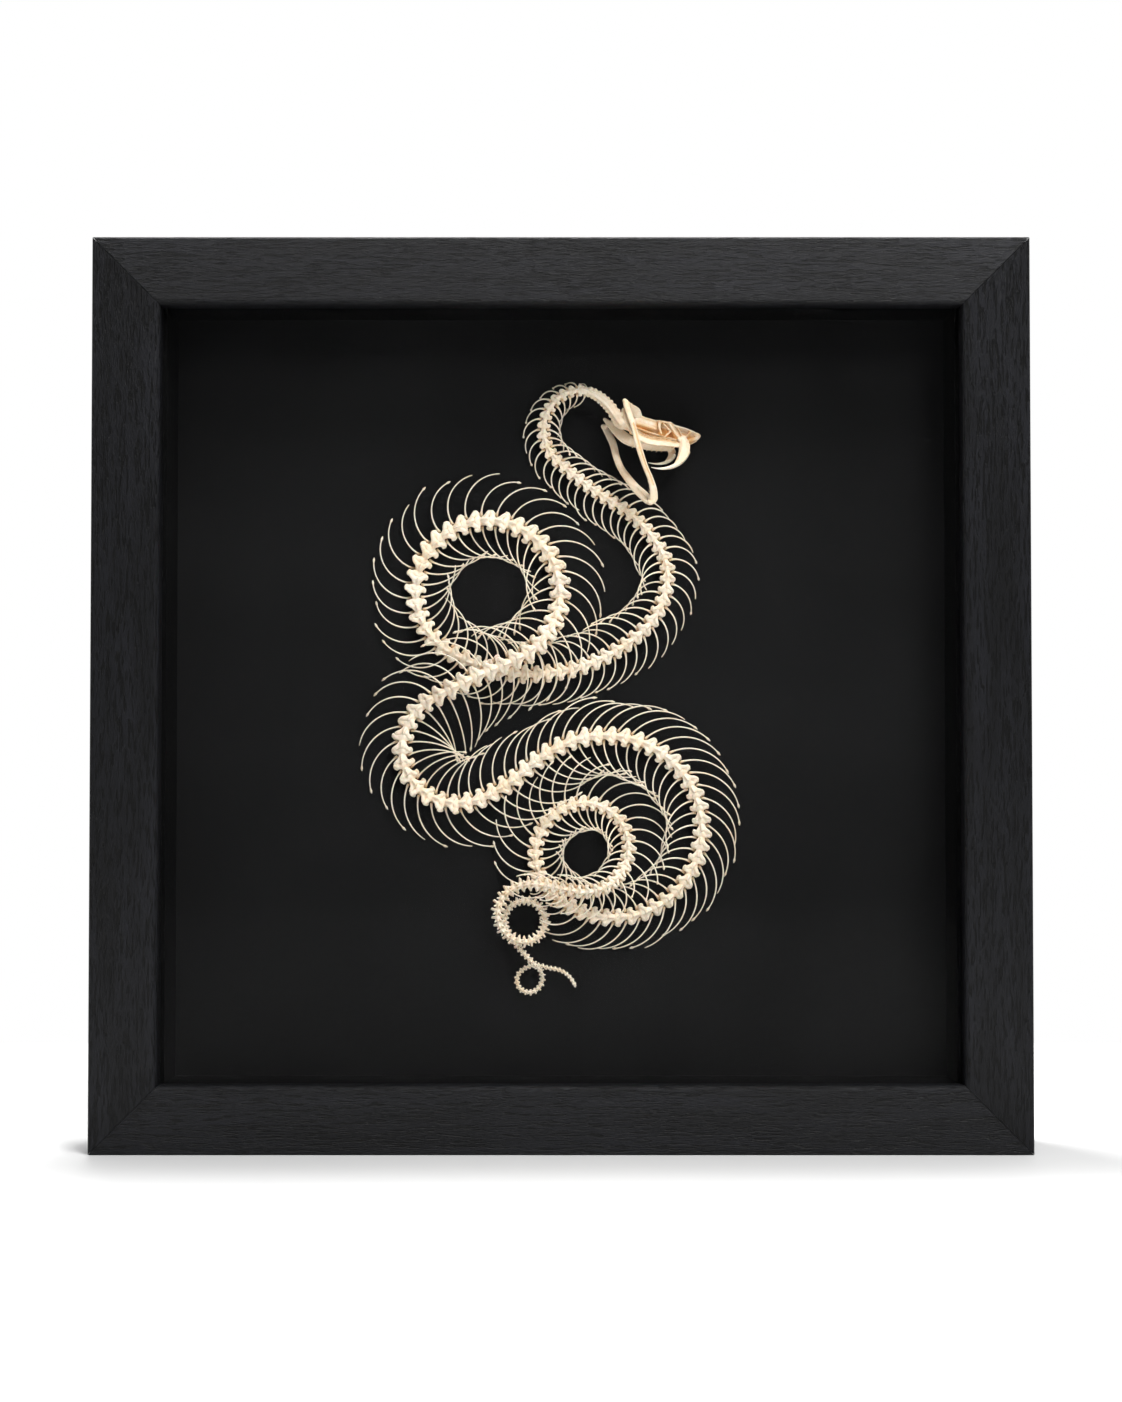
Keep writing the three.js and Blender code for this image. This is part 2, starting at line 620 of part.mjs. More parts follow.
function craniumGeometry() {
  const rings = CRANIUM.map(([x, half, crown, floor]) => {
    const middle = (crown + floor) / 2;
    const temple = middle + (crown - middle) * TEMPLE_HEIGHT;
    const cheek = middle + (floor - middle) * CHEEK_DEPTH;
    const profile = [
      [half * CROWN_WIDTH, crown], [half, temple], [half * CHEEK_WIDTH, cheek],
      [half * FLOOR_WIDTH, floor],
    ];
    const mirrored = profile.toReversed().map(([y, z]) => [-y, z]);
    return [...profile, ...mirrored].map(([y, z]) => new THREE.Vector3(x, y, z));
  });
  return ringSolid(rings, fan(8));
}

// The maxilla is the socket above the fang, and they are one body.
function maxillaKnots({ root, tip, radius }) {
  const [x, y, z] = root;
  const knots = [[x - 2, y, z + 3.6, 1.3 * radius], [x - 0.4, y, z + 1.5, 1.6 * radius]];
  for (let i = 0; i <= FANG_STEPS; i += 1) {
    const angle = Math.PI / 2 * i / FANG_STEPS;
    const thickness = THREE.MathUtils.lerp(radius, FANG_TIP_RADIUS, (i / FANG_STEPS) ** 1.5);
    knots.push([tip[0] + (x - tip[0]) * Math.cos(angle), y, z + (tip[1] - z) * Math.sin(angle), thickness]);
  }
  return knots;
}

function makeSkull() {
  const skull = new THREE.Group();
  skull.position.set(OCCIPUT.x, yAt(OCCIPUT.depth), OCCIPUT.z);
  skull.rotation.set(radians(SKULL_ROLL), radians(SKULL_PITCH), radians(SKULL_YAW), "ZYX");
  model.add(skull);
  add("cranium", craniumGeometry(), MATERIALS.bone, skull);
  for (const { name, sign, quadrate, mandible, palate, fang } of SIDES) {
    const bones = [
      ["quadrate", quadrate, 5, 4],
      ["mandible", mandible, 6, 6],
      ["palate", palate, 5, 6],
      ["maxilla", maxillaKnots(fang), 6, 9],
    ];
    for (const [bone, knots, sides, steps] of bones) {
      const placed = knots.map(([x, out, z, radius]) => [x, sign * out, z, radius]);
      add(`${bone}_${name}`, rod(placed, sides, steps), MATERIALS.bone, skull);
    }
  }
}

makeRails();
makeLiners();
makeBoards();
makeBackFittings();
makeBody();
makeSkull();

export default model;
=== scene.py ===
"""The skeleton of a pit viper, laid out in loops on a black board in a glazed black shadow box.

Shapes are worked out in millimetres in the CAD frame (+X the viewer's right, +Y back into the box,
+Z up) and turned into metres as each piece is made.
"""
import math

import bpy
import numpy as np
from mathutils import Euler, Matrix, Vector
from mathutils.geometry import tessellate_polygon


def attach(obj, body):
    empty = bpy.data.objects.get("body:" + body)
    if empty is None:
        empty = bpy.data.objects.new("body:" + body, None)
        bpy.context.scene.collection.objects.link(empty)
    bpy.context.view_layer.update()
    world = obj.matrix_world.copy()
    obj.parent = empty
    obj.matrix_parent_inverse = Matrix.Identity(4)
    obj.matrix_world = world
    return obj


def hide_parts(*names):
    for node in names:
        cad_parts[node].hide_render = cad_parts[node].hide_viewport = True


MM = 0.001

# ---- the box, as in the CAD ----
BOX_WIDTH, BOX_HEIGHT, BOX_DEPTH = 400, 390, 50
RAIL_WIDTH, RAIL_DEPTH = 29, 45.2
LIP_DEPTH = 9.2  # rail in front of the glass
REBATE_WIDTH = 24
MITRE_GAP = 0.12  # between the ends of two rails
BOARD_FRONT = 40  # depth of the backing board's face
BOARD_FACE = BOARD_FRONT - BOX_DEPTH / 2
SCREW_DEPTH = 48.35
SCREW_RADIUS, SCREW_HEIGHT = 3.2, 1.6

# ---- the backbone, as in the CAD ----
START = {"x": 23.0, "z": 319.1, "heading": 122.5}
BENDS = [  # (length, turn in degrees), left positive
    # arch of the neck and its way down to the right
    (9, 20.5), (23, 88), (26, 85), (32, 14), (31, -32), (11, -30), (27, -45),
    # back across to the left and round the great loop
    (92, -74), (48, -90), (121, -217),
    # over the neck and round the left bend
    (41, 7), (73, 173), (24, 20),
    # wide sweep over to the right and back
    (17, -13), (56, -72), (123, -180),
    # middle loop
    (47, -117), (71, -211), (16, 1),
    # small loop of the tail's root
    (12, 36), (31, 142), (49, 315), (20, 15),
    # tiny loop and the tip
    (12, -102), (16, -172), (11, -64), (4, 15), (14, -70),
]
LEVELS = [  # (distance, height of the backbone's middle above the board)
    (0, 13), (12, 12.2), (56, 5), (384, 5), (406, 12.8), (444, 12.8), (472, 5),
    (842, 5), (862, 11.3), (888, 11.3), (906, 8.6), (926, 8.4), (950, 4),
    (984, 4), (991, 5.8), (998, 5.8), (1008, 2.2), (1057, 2.2),
]
VERTEBRA_SIZES = [  # (distance, spacing, half-width)
    (0, 3.6, 2.3), (45, 4.2, 2.8), (132, 5, 3.3), (240, 5.5, 4), (290, 6.2, 4.5),
    (425, 6.2, 4.6), (510, 6, 4.4), (610, 5.9, 4.1), (700, 5.7, 3.8), (770, 4.9, 3.4),
    (850, 4.2, 3.1), (888, 3.4, 2.8), (930, 2.8, 2.3), (985, 2.2, 1.4), (1057, 1.8, 0.8),
]
# (distance, left rib, right rib), each rib its length and how many degrees it leans towards the
# tail at its root and at its tip
RIB_SHAPES = [
    (12, (6, -5, 88), (4, 0, 100)), (31, (11, -5, 88), (11, 5, 118)),
    (46, (14, 5, 96), (14, 5, 112)), (61, (17, 15, 110), (16, -5, 104)),
    (80, (18, 15, 110), (18, -5, 100)), (105, (18, 0, 110), (20, -5, 96)),
    (136, (19, 5, 98), (20, -8, 94)), (160, (20, 15, 96), (24, 0, 88)),
    (196, (22, 10, 110), (22, 0, 96)), (220, (23, 5, 106), (22, -5, 104)),
    (256, (26, 10, 104), (25, -5, 80)), (286, (27, 0, 102), (26, 0, 72)),
    (316, (28, -5, 96), (26, -5, 80)), (346, (28, 10, 110), (28, 10, 88)),
    (376, (29, 20, 112), (30, 5, 82)), (406, (28, 15, 88), (30, -5, 88)),
    (436, (29, -2, 64), (31, 0, 96)), (453, (26, -2, 26), (30, 10, 104)),
    (466, (28, -10, 26), (28, 20, 112)), (482, (29, -15, 33), (28, 26, 113)),
    (500, (25, -15, 32), (28, 30, 114)), (515, (27, -12, 60), (29, 24, 110)),
    (530, (28, -8, 78), (30, 15, 104)), (545, (29, 10, 98), (32, 10, 98)),
    (556, (30, 25, 120), (34, 5, 94)), (586, (34, 30, 128), (30, 5, 82)),
    (616, (32, 25, 112), (28, -10, 96)), (661, (28, 28, 118), (26, -5, 90)),
    (706, (26, 35, 112), (22, 0, 88)), (732, (26, 15, 106), (22, 5, 88)),
    (740, (19, 15, 106), (22, 4, 87)), (746, (12, 15, 100), (21, 3, 84)),
    (751, (12, 10, 96), (21, 2, 82)), (757, (24, 10, 98), (21, 0, 80)),
    (781, (28, 15, 96), (20, -5, 72)), (811, (24, 10, 96), (17, 0, 80)),
    (841, (20, 0, 96), (14, 0, 88)), (871, (14, 5, 104), (13, 25, 105)),
    (888, (6, 5, 100), (14, 55, 125)),
]
FIRST_VERTEBRA, FIRST_RIB, LAST_RIB = 1, 12, 888
LENGTHS = [
    ("neck", 0), ("trunk_1", 112), ("trunk_2", 256), ("trunk_3", 385), ("trunk_4", 560),
    ("trunk_5", 700), ("trunk_6", 806), ("tail_root", 890), ("tail_middle", 958),
    ("tail_tip", 1012),
]
CREST = 0.75  # height of a vertebra in front of its middle, per half-width
RIB_STEPS = 24
RIB_ROOT_PLACE = 0.5  # how far out and how far back a rib starts, per half-width of its vertebra
RIB_ROOT_DROP = 0.3
RIB_VARIETY = 0.1  # share by which lengths and bends differ between neighbours
RIB_BOW = 1.2  # arch of a rib in front of the line from root to tip
RIB_CLEARANCE = 1  # height between two ribs that cross
RIB_REACH = 1.2  # sideways distance within which they count as crossing
RIB_SHORTENING = 0.93  # each time a rib finds no free height
SHORTEST_RIB = 0.3  # as a part of its planned length
ROOT_PART = 0.1  # part of a rib beside its root that meets nothing
TIP_LOWEST, TIP_HIGHEST, TIP_STEP = 0.9, 15, 0.5
OWN_STRETCH = 16  # part of the backbone beside a rib's root that it can't meet
FARTHEST_MEETING = 45  # between a rib's root and a vertebra that the rib may cross
VERTEBRA_MARGIN = 1.4  # sideways room beside a vertebra that a rib crosses

# ---- the skull: its own frame has +X to the snout, +Y to the animal's left, +Z to its crown ----
OCCIPUT = (26.7, 26.5 - BOX_DEPTH / 2, 317.3)
SKULL_ROLL, SKULL_PITCH, SKULL_YAW = -17, 11, 17.5
SKULL_TONE = 0.88  # its bones are a little yellower than the backbone

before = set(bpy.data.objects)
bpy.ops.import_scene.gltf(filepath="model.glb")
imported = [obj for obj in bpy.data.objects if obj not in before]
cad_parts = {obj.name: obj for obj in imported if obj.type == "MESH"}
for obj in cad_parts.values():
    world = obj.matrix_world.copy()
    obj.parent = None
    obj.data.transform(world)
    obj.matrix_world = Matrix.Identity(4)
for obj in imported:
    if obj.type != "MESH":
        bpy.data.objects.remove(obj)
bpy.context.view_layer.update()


# ---- meshes ----


class Shape:
    """Closed bodies of triangles in millimetres, gathered for one piece. Each point has a tone
    from 0, amber, to 1, ivory; low tones give thin bone its amber and are painted shade in
    hollows, at the ribs' heads and below the braincase."""

    def __init__(self):
        self.points, self.faces, self.tones, self.count = [], [], [], 0

    def add(self, points, faces, tones):
        points = np.asarray(points, float)
        self.points.append(points)
        self.faces.append(np.asarray(faces, int) + self.count)
        self.tones.append(np.broadcast_to(np.asarray(tones, float), len(points)))
        self.count += len(points)

    def piece(self, name, material, slot, *nodes):
        """The gathered bodies as one object that stands for these CAD nodes."""
        points = np.concatenate(self.points) * MM
        faces = np.concatenate(self.faces)
        mesh = bpy.data.meshes.new(name)
        mesh.vertices.add(len(points))
        mesh.vertices.foreach_set("co", points.ravel())
        mesh.loops.add(faces.size)
        mesh.loops.foreach_set("vertex_index", faces.ravel())
        mesh.polygons.add(len(faces))
        mesh.polygons.foreach_set("loop_start", np.arange(0, faces.size, 3))
        mesh.update(calc_edges=True)
        tone = mesh.attributes.new("tone", "FLOAT", "POINT")
        tone.data.foreach_set("value", np.concatenate(self.tones))
        mesh.shade_smooth()
        mesh.materials.append(material)
        obj = bpy.data.objects.new(name, mesh)
        bpy.context.collection.objects.link(obj)
        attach(obj, "root")
        if nodes:
            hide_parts(*nodes)
        return obj


def unit(vectors):
    return vectors / np.linalg.norm(vectors, axis=1)[:, None]


def tube(shape, centres, across, upward, widths, heights, sides, tones):
    """A closed tube of elliptic section; across and upward are its axes at each centre."""
    angles = 2 * np.pi * np.arange(sides) / sides
    rings = (centres[:, None] + (widths[:, None] * np.cos(angles))[..., None] * across[:, None]
             + (heights[:, None] * np.sin(angles))[..., None] * upward[:, None])
    count = len(centres)
    points = np.concatenate([rings.reshape(-1, 3), centres[:1], centres[-1:]])
    a = (np.arange(count - 1)[:, None] * sides + np.arange(sides)).ravel()
    b = (np.arange(count - 1)[:, None] * sides + (np.arange(sides) + 1) % sides).ravel()
    first, last = count * sides, count * sides + 1
    side = np.arange(sides)
    after = (side + 1) % sides
    start = np.stack([np.full(sides, first), after, side], 1)
    base = (count - 1) * sides
    end = np.stack([np.full(sides, last), base + side, base + after], 1)
    faces = np.concatenate([
        np.stack([a, b, b + sides], 1), np.stack([a, b + sides, a + sides], 1), start, end])
    tones = np.broadcast_to(tones, count)
    shape.add(points, faces, np.concatenate([np.repeat(tones, sides), tones[:1], tones[-1:]]))


# ---- bones as fields: each function gives the distance to a form, negative inside it ----


def both_sides(at):
    """The places mirrored to +Y, so that a form there is made on both sides."""
    return at * (1, 0, 1) + np.abs(at) * (0, 1, 0)


def ball(at, centre, radii):
    scaled = (at - np.array(centre)) / np.array(radii)
    far = np.linalg.norm(scaled, axis=1)
    near = np.linalg.norm(scaled / np.array(radii), axis=1)
    return far * (far - 1) / np.maximum(near, 1e-9)


def rod(at, start, end, start_radius, end_radius):
    start, along = np.array(start, float), np.subtract(end, start).astype(float)
    t = np.clip((at - start) @ along / (along @ along), 0, 1)
    return (np.linalg.norm(at - start - t[:, None] * along, axis=1)
            - (start_radius + (end_radius - start_radius) * t))


def merge(first, second, softness):
    """Both forms, with a fillet where they meet."""
    t = np.clip(0.5 + 0.5 * (second - first) / softness, 0, 1)
    return second * (1 - t) + first * t - softness * t * (1 - t)


def carve(first, second, softness):
    """The first form without the second."""
    return -merge(-first, second, softness)


def build(at, parts):
    """One form out of parts, each (merge or carve, softness, sides, form, *measures). A part with
    two sides is put on both."""
    left, found = both_sides(at), None
    for join, softness, sides, form, *measures in parts:
        part = form(left if sides == 2 else at, *measures)
        found = part if found is None else join(found, part, softness)
    return found


def curve(knots, parts=3):
    """A smooth course through the knots, with each stretch cut into parts."""
    knots = np.array(knots, float)
    ends = np.concatenate([2 * knots[:1] - knots[1:2], knots, 2 * knots[-1:] - knots[-2:-1]])
    found = []
    for a, b, c, d in zip(ends, ends[1:], ends[2:], ends[3:]):
        for t in np.arange(parts) / parts:
            found.append(0.5 * (2 * b + (c - a) * t + (2 * a - 5 * b + 4 * c - d) * t ** 2
                                + (3 * b - a - 3 * c + d) * t ** 3))
    return [*found, knots[-1]]


def strap(at, knots, thin):
    """A band of bone through knots, each (x, y, z, half-width, half-thickness), whose section is an
    ellipse that is thin along the direction thin, or as near to it as the band's course allows."""
    thin = np.array(thin, float)
    found = None
    for one, two in zip(knots, knots[1:]):
        start, along = np.array(one[:3], float), np.subtract(two[:3], one[:3]).astype(float)
        t = np.clip((at - start) @ along / (along @ along), 0, 1)
        wide = one[3] + (two[3] - one[3]) * t
        thick = one[4] + (two[4] - one[4]) * t
        offset = at - start - t[:, None] * along
        flat = thin - (thin @ along) / (along @ along) * along
        flat /= np.linalg.norm(flat)
        through = offset @ flat
        beside = np.linalg.norm(offset - through[:, None] * flat, axis=1)
        distance = (np.hypot(through / thick, beside / wide) - 1) * np.minimum(thick, wide)
        found = distance if found is None else np.minimum(found, distance)
    return found


def solid(shape, field, low, high, cell, reach=0.8, hollow_shade_tone=0.0):
    """Adds the closed surface on which the field is zero, by surface nets: a point in each cell of
    the grid that the surface passes, and a square across each grid line that it cuts. Where the
    surface is hollow its tone goes down, as painted shade; reach is the size of the hollows
    that count."""
    low, high = np.array(low, float), np.array(high, float)
    counts = np.ceil((high - low) / cell).astype(int) + 1
    axes = [low[i] + cell * np.arange(counts[i]) for i in range(3)]
    grid = np.stack(np.meshgrid(*axes, indexing="ij"), -1)
    value = field(grid.reshape(-1, 3)).reshape(counts)
    cells = counts - 1
    sums, hits, quads = np.zeros((cells.prod(), 3)), np.zeros(cells.prod()), []
    for axis in range(3):
        near = np.take(value, range(counts[axis] - 1), axis)
        far = np.take(value, range(1, counts[axis]), axis)
        crossing = np.argwhere((near < 0) != (far < 0))
        here, there = near[tuple(crossing.T)], far[tuple(crossing.T)]
        spots = low + cell * crossing
        spots[:, axis] += cell * here / (here - there)
        one, two = (axis + 1) % 3, (axis + 2) % 3
        around = []
        for back_one, back_two in ((1, 1), (0, 1), (0, 0), (1, 0)):
            index = crossing.copy()
            index[:, one] -= back_one
            index[:, two] -= back_two
            flat = np.ravel_multi_index(index.T, cells, mode="clip")
            for i in range(3):
                sums[:, i] += np.bincount(flat, spots[:, i], cells.prod())
            hits += np.bincount(flat, minlength=cells.prod())
            around.append(flat)
        quad = np.stack(around, 1)
        quad[here > 0] = quad[here > 0, ::-1]
        quads.append(quad)
    used = np.flatnonzero(hits)
    number = np.zeros(cells.prod(), int)
    number[used] = np.arange(len(used))
    quads = number[np.concatenate(quads)]
    points = sums[used] / hits[used, None]
    for _ in range(2):
        normals, steepness = slope(field, points, cell)
        move = np.clip(field(points) / steepness, -0.5 * cell, 0.5 * cell)
        points = points - move[:, None] * normals
    normals, steepness = slope(field, points, cell)
    # painted shade: the tone falls where the surface lies in a hollow
    openness = [field(points + normals * d) / (d * steepness) for d in (0.5 * reach, reach)]
    faces = np.concatenate([quads[:, [0, 1, 2]], quads[:, [0, 2, 3]]])
    tones = softened(np.clip(0.5 * sum(openness), 0, 1), faces)
    shape.add(points, faces, hollow_shade_tone + (1 - hollow_shade_tone) * tones)


def softened(tones, faces, times=3):
    """Each point's tone evened out with its neighbours'."""
    share = np.bincount(faces.ravel(), minlength=len(tones))
    for _ in range(times):
        of_faces = np.repeat(tones[faces].mean(1), 3)
        tones = np.bincount(faces.ravel(), of_faces, len(tones)) / share
    return tones


def slope(field, points, cell):
    """Direction in which the field grows, and how fast."""
    step = 0.2 * cell
    rise = np.stack([field(points + step * axis) - field(points - step * axis)
                     for axis in np.eye(3)], 1)
    length = np.maximum(np.linalg.norm(rise, axis=1), 1e-9)
    return rise / length[:, None], length / (2 * step)


# ---- course of the backbone ----


def along_bend(bend, distance):
    angle = bend["turn"] * distance / bend["length"]
    chord = 2 * (bend["length"] / bend["turn"]) * math.sin(angle / 2)
    return (bend["x"] + chord * math.cos(bend["heading"] + angle / 2),
            bend["z"] + chord * math.sin(bend["heading"] + angle / 2),
            bend["heading"] + angle)


def bend_starts():
    at, x, z, heading = 0, START["x"], START["z"], math.radians(START["heading"])
    found = []
    for length, turn in BENDS:
        found.append({"at": at, "x": x, "z": z, "heading": heading, "length": length,
                      "turn": math.radians(turn)})
        x, z, heading = along_bend(found[-1], length)
        at += length
    return found


bends = bend_starts()
BODY_LENGTH = bends[-1]["at"] + bends[-1]["length"]


def smooth(t):
    return t * t * (3 - 2 * t)


def between(pairs, at, ease=lambda t: t):
    """Value at a distance down the backbone, from a list of (distance, value)."""
    if at <= pairs[0][0]:
        return pairs[0][1]
    for (from_at, start), (to_at, end) in zip(pairs, pairs[1:]):
        if at <= to_at:
            return start + (end - start) * ease((at - from_at) / (to_at - from_at))
    return pairs[-1][1]


def station(at):
    """Where the backbone is at a distance from the skull, and how thick."""
    bend = [candidate for candidate in bends if candidate["at"] <= at][-1]
    x, z, heading = along_bend(bend, at - bend["at"])
    return {
        "at": at, "x": x, "z": z, "heading": heading, "level": between(LEVELS, at, smooth),
        "pitch": between([row[:2] for row in VERTEBRA_SIZES], at),
        "half": between([row[::2] for row in VERTEBRA_SIZES], at),
    }


def make_vertebrae():
    found, at = [], FIRST_VERTEBRA
    while at < BODY_LENGTH - 1:
        found.append(station(at))
        at += found[-1]["pitch"]
    return found


# ---- course of the ribs ----


def scatter(seed):
    """A number from 0 to 1 that looks random and is always the same for the same seed."""
    value = math.sin(seed * 12.9898) * 43758.5453
    return value - math.floor(value)


def rib_plan(root, index, side, scale):
    """Course of a rib seen from the front: (x, z, t), with t from 0 at its root to 1 at its tip."""
    seed = index * 2 + (1 if side > 0 else 0)
    column = 1 if side > 0 else 2
    length, root_lean, tip_lean = (
        between([(row[0], row[column][value]) for row in RIB_SHAPES], root["at"])
        for value in range(3))
    step = length * scale * (1 + RIB_VARIETY * (scatter(seed) - 0.5)) / RIB_STEPS
    bend = (tip_lean - root_lean) * (1 + RIB_VARIETY * (scatter(seed + 0.5) - 0.5))
    x = root["x"] - side * root["half"] * RIB_ROOT_PLACE * math.sin(root["heading"])
    z = root["z"] + side * root["half"] * RIB_ROOT_PLACE * math.cos(root["heading"])
    points = [(x, z, 0)]
    for i in range(RIB_STEPS):
        lean = root_lean + bend * (i + 0.5) / RIB_STEPS
        direction = root["heading"] + side * math.radians(90 - lean)
        x += step * math.cos(direction)
        z += step * math.sin(direction)
        points.append((x, z, (i + 1) / RIB_STEPS))
    return points


def rib_height(root, tip, t):
    return root + (tip - root) * t + RIB_BOW * math.sin(math.pi * t)


laid = {}  # (x, z, height) of the ribs laid so far, by square millimetre


def cell_of(x, z):
    return math.floor(x + 0.5), math.floor(z + 0.5)


def obstacles(plan, root):
    """(t, height, clearance) of all that the rib's course meets."""
    found = []
    for x, z, t in plan:
        if t <= ROOT_PART:
            continue
        column, row = cell_of(x, z)
        for i in range(column - 2, column + 3):
            for j in range(row - 2, row + 3):
                for other_x, other_z, height in laid.get((i, j), ()):
                    if math.hypot(other_x - x, other_z - z) < RIB_REACH:
                        found.append((t, height, RIB_CLEARANCE))
    for bone in vertebrae:
        if abs(bone["at"] - root["at"]) < OWN_STRETCH:
            continue
        if math.hypot(bone["x"] - root["x"], bone["z"] - root["z"]) > FARTHEST_MEETING:
            continue
        for x, z, t in plan:
            if math.hypot(bone["x"] - x, bone["z"] - z) < bone["half"] + VERTEBRA_MARGIN:
                found.append((t, bone["level"], bone["half"] * CREST + RIB_CLEARANCE))
    return found


def lay_rib(root, index, side):
    """Lets a rib down towards the board until it clears all that is laid already. A rib that finds
    no free height is shortened and tried again."""
    root_height = root["level"] - RIB_ROOT_DROP * root["half"]
    scale = 1
    while scale > SHORTEST_RIB:
        plan = rib_plan(root, index, side, scale)
        near = obstacles(plan, root)
        tip = TIP_LOWEST
        while tip < TIP_HIGHEST:
            if all(abs(rib_height(root_height, tip, t) - height) >= clearance
                   for t, height, clearance in near):
                points = [(x, z, rib_height(root_height, tip, t)) for x, z, t in plan]
                for x, z, height in points:
                    laid.setdefault(cell_of(x, z), []).append((x, z, height))
                return points
            tip += TIP_STEP
        scale *= RIB_SHORTENING
    return None


def lay_ribs():
    for index, root in enumerate(vertebrae):
        ribbed = FIRST_RIB <= root["at"] <= LAST_RIB
        root["ribs"] = [lay_rib(root, index, side) if ribbed else None for side in (1, -1)]


vertebrae = make_vertebrae()
lay_ribs()


# ---- the vertebra: +X to the tail, +Y to the left, +Z away from the board ----

FULL_PITCH, FULL_HALF = 6.2, 4.5  # of the vertebra that the tables describe

# Body with ball and socket, arch, wings that lap over the next vertebra's, crest and keel.
TRUNK_VERTEBRA = [
    (merge, 0, 1, rod, (-2.4, 0, -0.9), (2.2, 0, -1.0), 1.9, 1.6),
    (merge, 0.3, 1, rod, (2.4, 0, -1.0), (3.5, 0, -0.8), 1.2, 1.3),
    (merge, 0.5, 1, ball, (-1.8, 0, 0.5), (1.7, 2.7, 1.3)),
    (merge, 0.5, 1, ball, (1.5, 0, 0.7), (2.3, 2.0, 1.6)),
    (merge, 0.4, 2, strap, [(-1.6, 1.3, 0.4, 1.2, 0.9), (-2.1, 2.7, 0.5, 1.35, 0.85),
     (-2.3, 3.75, 0.3, 1.2, 0.75)], (0.1, -0.2, 1)),
    (merge, 0.4, 2, strap, [(1.8, 1.3, 1.1, 1.1, 0.8), (2.9, 2.5, 1.35, 1.0, 0.7),
     (3.5, 3.3, 1.25, 0.85, 0.6)], (-0.1, -0.2, 1)),
    (merge, 0.4, 2, ball, (-1.7, 3.6, -0.9), (1.15, 0.9, 1.1)),
    (merge, 0.3, 2, ball, (-3.0, 4.1, 0.7), (0.6, 0.6, 0.6)),
    (merge, 0.3, 1, ball, (-2.6, 0, 1.4), (0.7, 1.3, 0.5)),
    (merge, 0.5, 1, strap, [(0.3, 0, 1.8, 0.6, 0.5), (1.3, 0, 2.3, 0.7, 0.5),
     (2.3, 0, 2.5, 0.5, 0.4)], (0, 1, 0)),
    (merge, 0.5, 1, strap, [(-0.6, 0, -2.2, 0.6, 0.4), (2.0, 0, -2.9, 0.5, 0.35)], (0, 1, 0)),
    (carve, 0.25, 1, ball, (-3.5, 0, -1.0), (1.1, 1.15, 1.15)),
    (carve, 0.4, 2, ball, (0.4, 1.35, 2.4), (1.5, 0.75, 0.8)),
    (carve, 0.3, 2, ball, (-2.2, 2.1, 1.9), (0.7, 0.8, 0.6)),
    (carve, 0.5, 2, ball, (0.75, 3.4, 0.4), (1.25, 1.2, 2.2)),
]

# Low wings and a long crest: the first vertebrae make one ribbed rod.
NECK_VERTEBRA = [
    (merge, 0, 1, rod, (-2.9, 0, -0.4), (2.9, 0, -0.4), 2.6, 2.6),
    (merge, 0.9, 1, ball, (0, 0, 0.3), (3.3, 3.4, 2.2)),
    (merge, 0.6, 2, ball, (-2.2, 3.2, 0.1), (1.2, 1.0, 0.7)),
    (merge, 0.6, 2, ball, (2.6, 3.1, 0.7), (1.2, 0.9, 0.7)),
    (merge, 0.7, 1, strap, [(-2.2, 0, 2.4, 0.5, 0.5), (3.2, 0, 2.8, 0.5, 0.5)], (0, 1, 0)),
]

# As in the trunk, with a blunt process to each side in place of the ribs.
TAIL_VERTEBRA = [
    (merge, 0, 1, rod, (-2.5, 0, -0.6), (3.0, 0, -0.6), 2.1, 1.6),
    (merge, 0.5, 1, ball, (-0.2, 0, 0.7), (2.4, 2.5, 1.9)),
    (merge, 0.4, 2, rod, (-1.4, 1.8, 0.6), (-2.2, 4.3, 0.6), 1.2, 0.95),
    (merge, 0.4, 2, rod, (1.4, 1.5, 1.2), (2.4, 2.8, 1.9), 1.0, 0.75),
    (merge, 0.4, 2, rod, (-0.6, 2.2, -0.7), (-1.4, 5.2, -0.9), 1.0, 0.6),
    (merge, 0.4, 1, strap, [(-0.6, 0, 2.4, 0.6, 0.5), (1.9, 0, 3.0, 0.6, 0.5)], (0, 1, 0)),
    (merge, 0.4, 2, rod, (1.2, 0.7, -1.8), (2.4, 0.8, -2.6), 0.6, 0.4),
]


MOULD_LOW, MOULD_HIGH = (-4.4, -6.4, -4.4), (5.4, 6.4, 4.4)
TRUNK_CELL, SMALL_CELL = 0.36, 0.42


def vertebra_mould(parts, cell):
    mould = Shape()
    # painted shade in the vertebra's hollows, down to a tone of 0.4
    solid(mould, lambda at: build(at, parts), MOULD_LOW, MOULD_HIGH, cell, reach=1.1,
          hollow_shade_tone=0.4)
    return mould.points[0], mould.faces[0], mould.tones[0]


VERTEBRA_TURN = 13  # degrees that the backbone leans over to one side and back
VERTEBRA_TURN_LENGTH = 90
VERTEBRA_TWIST = 11  # range of degrees by which a vertebra leans more or less than its neighbours
VERTEBRA_SWING = 7  # the same for its heading
VERTEBRA_VARIETY = 0.08  # share by which widths differ between neighbours
DARKEST_VERTEBRA = 0.94


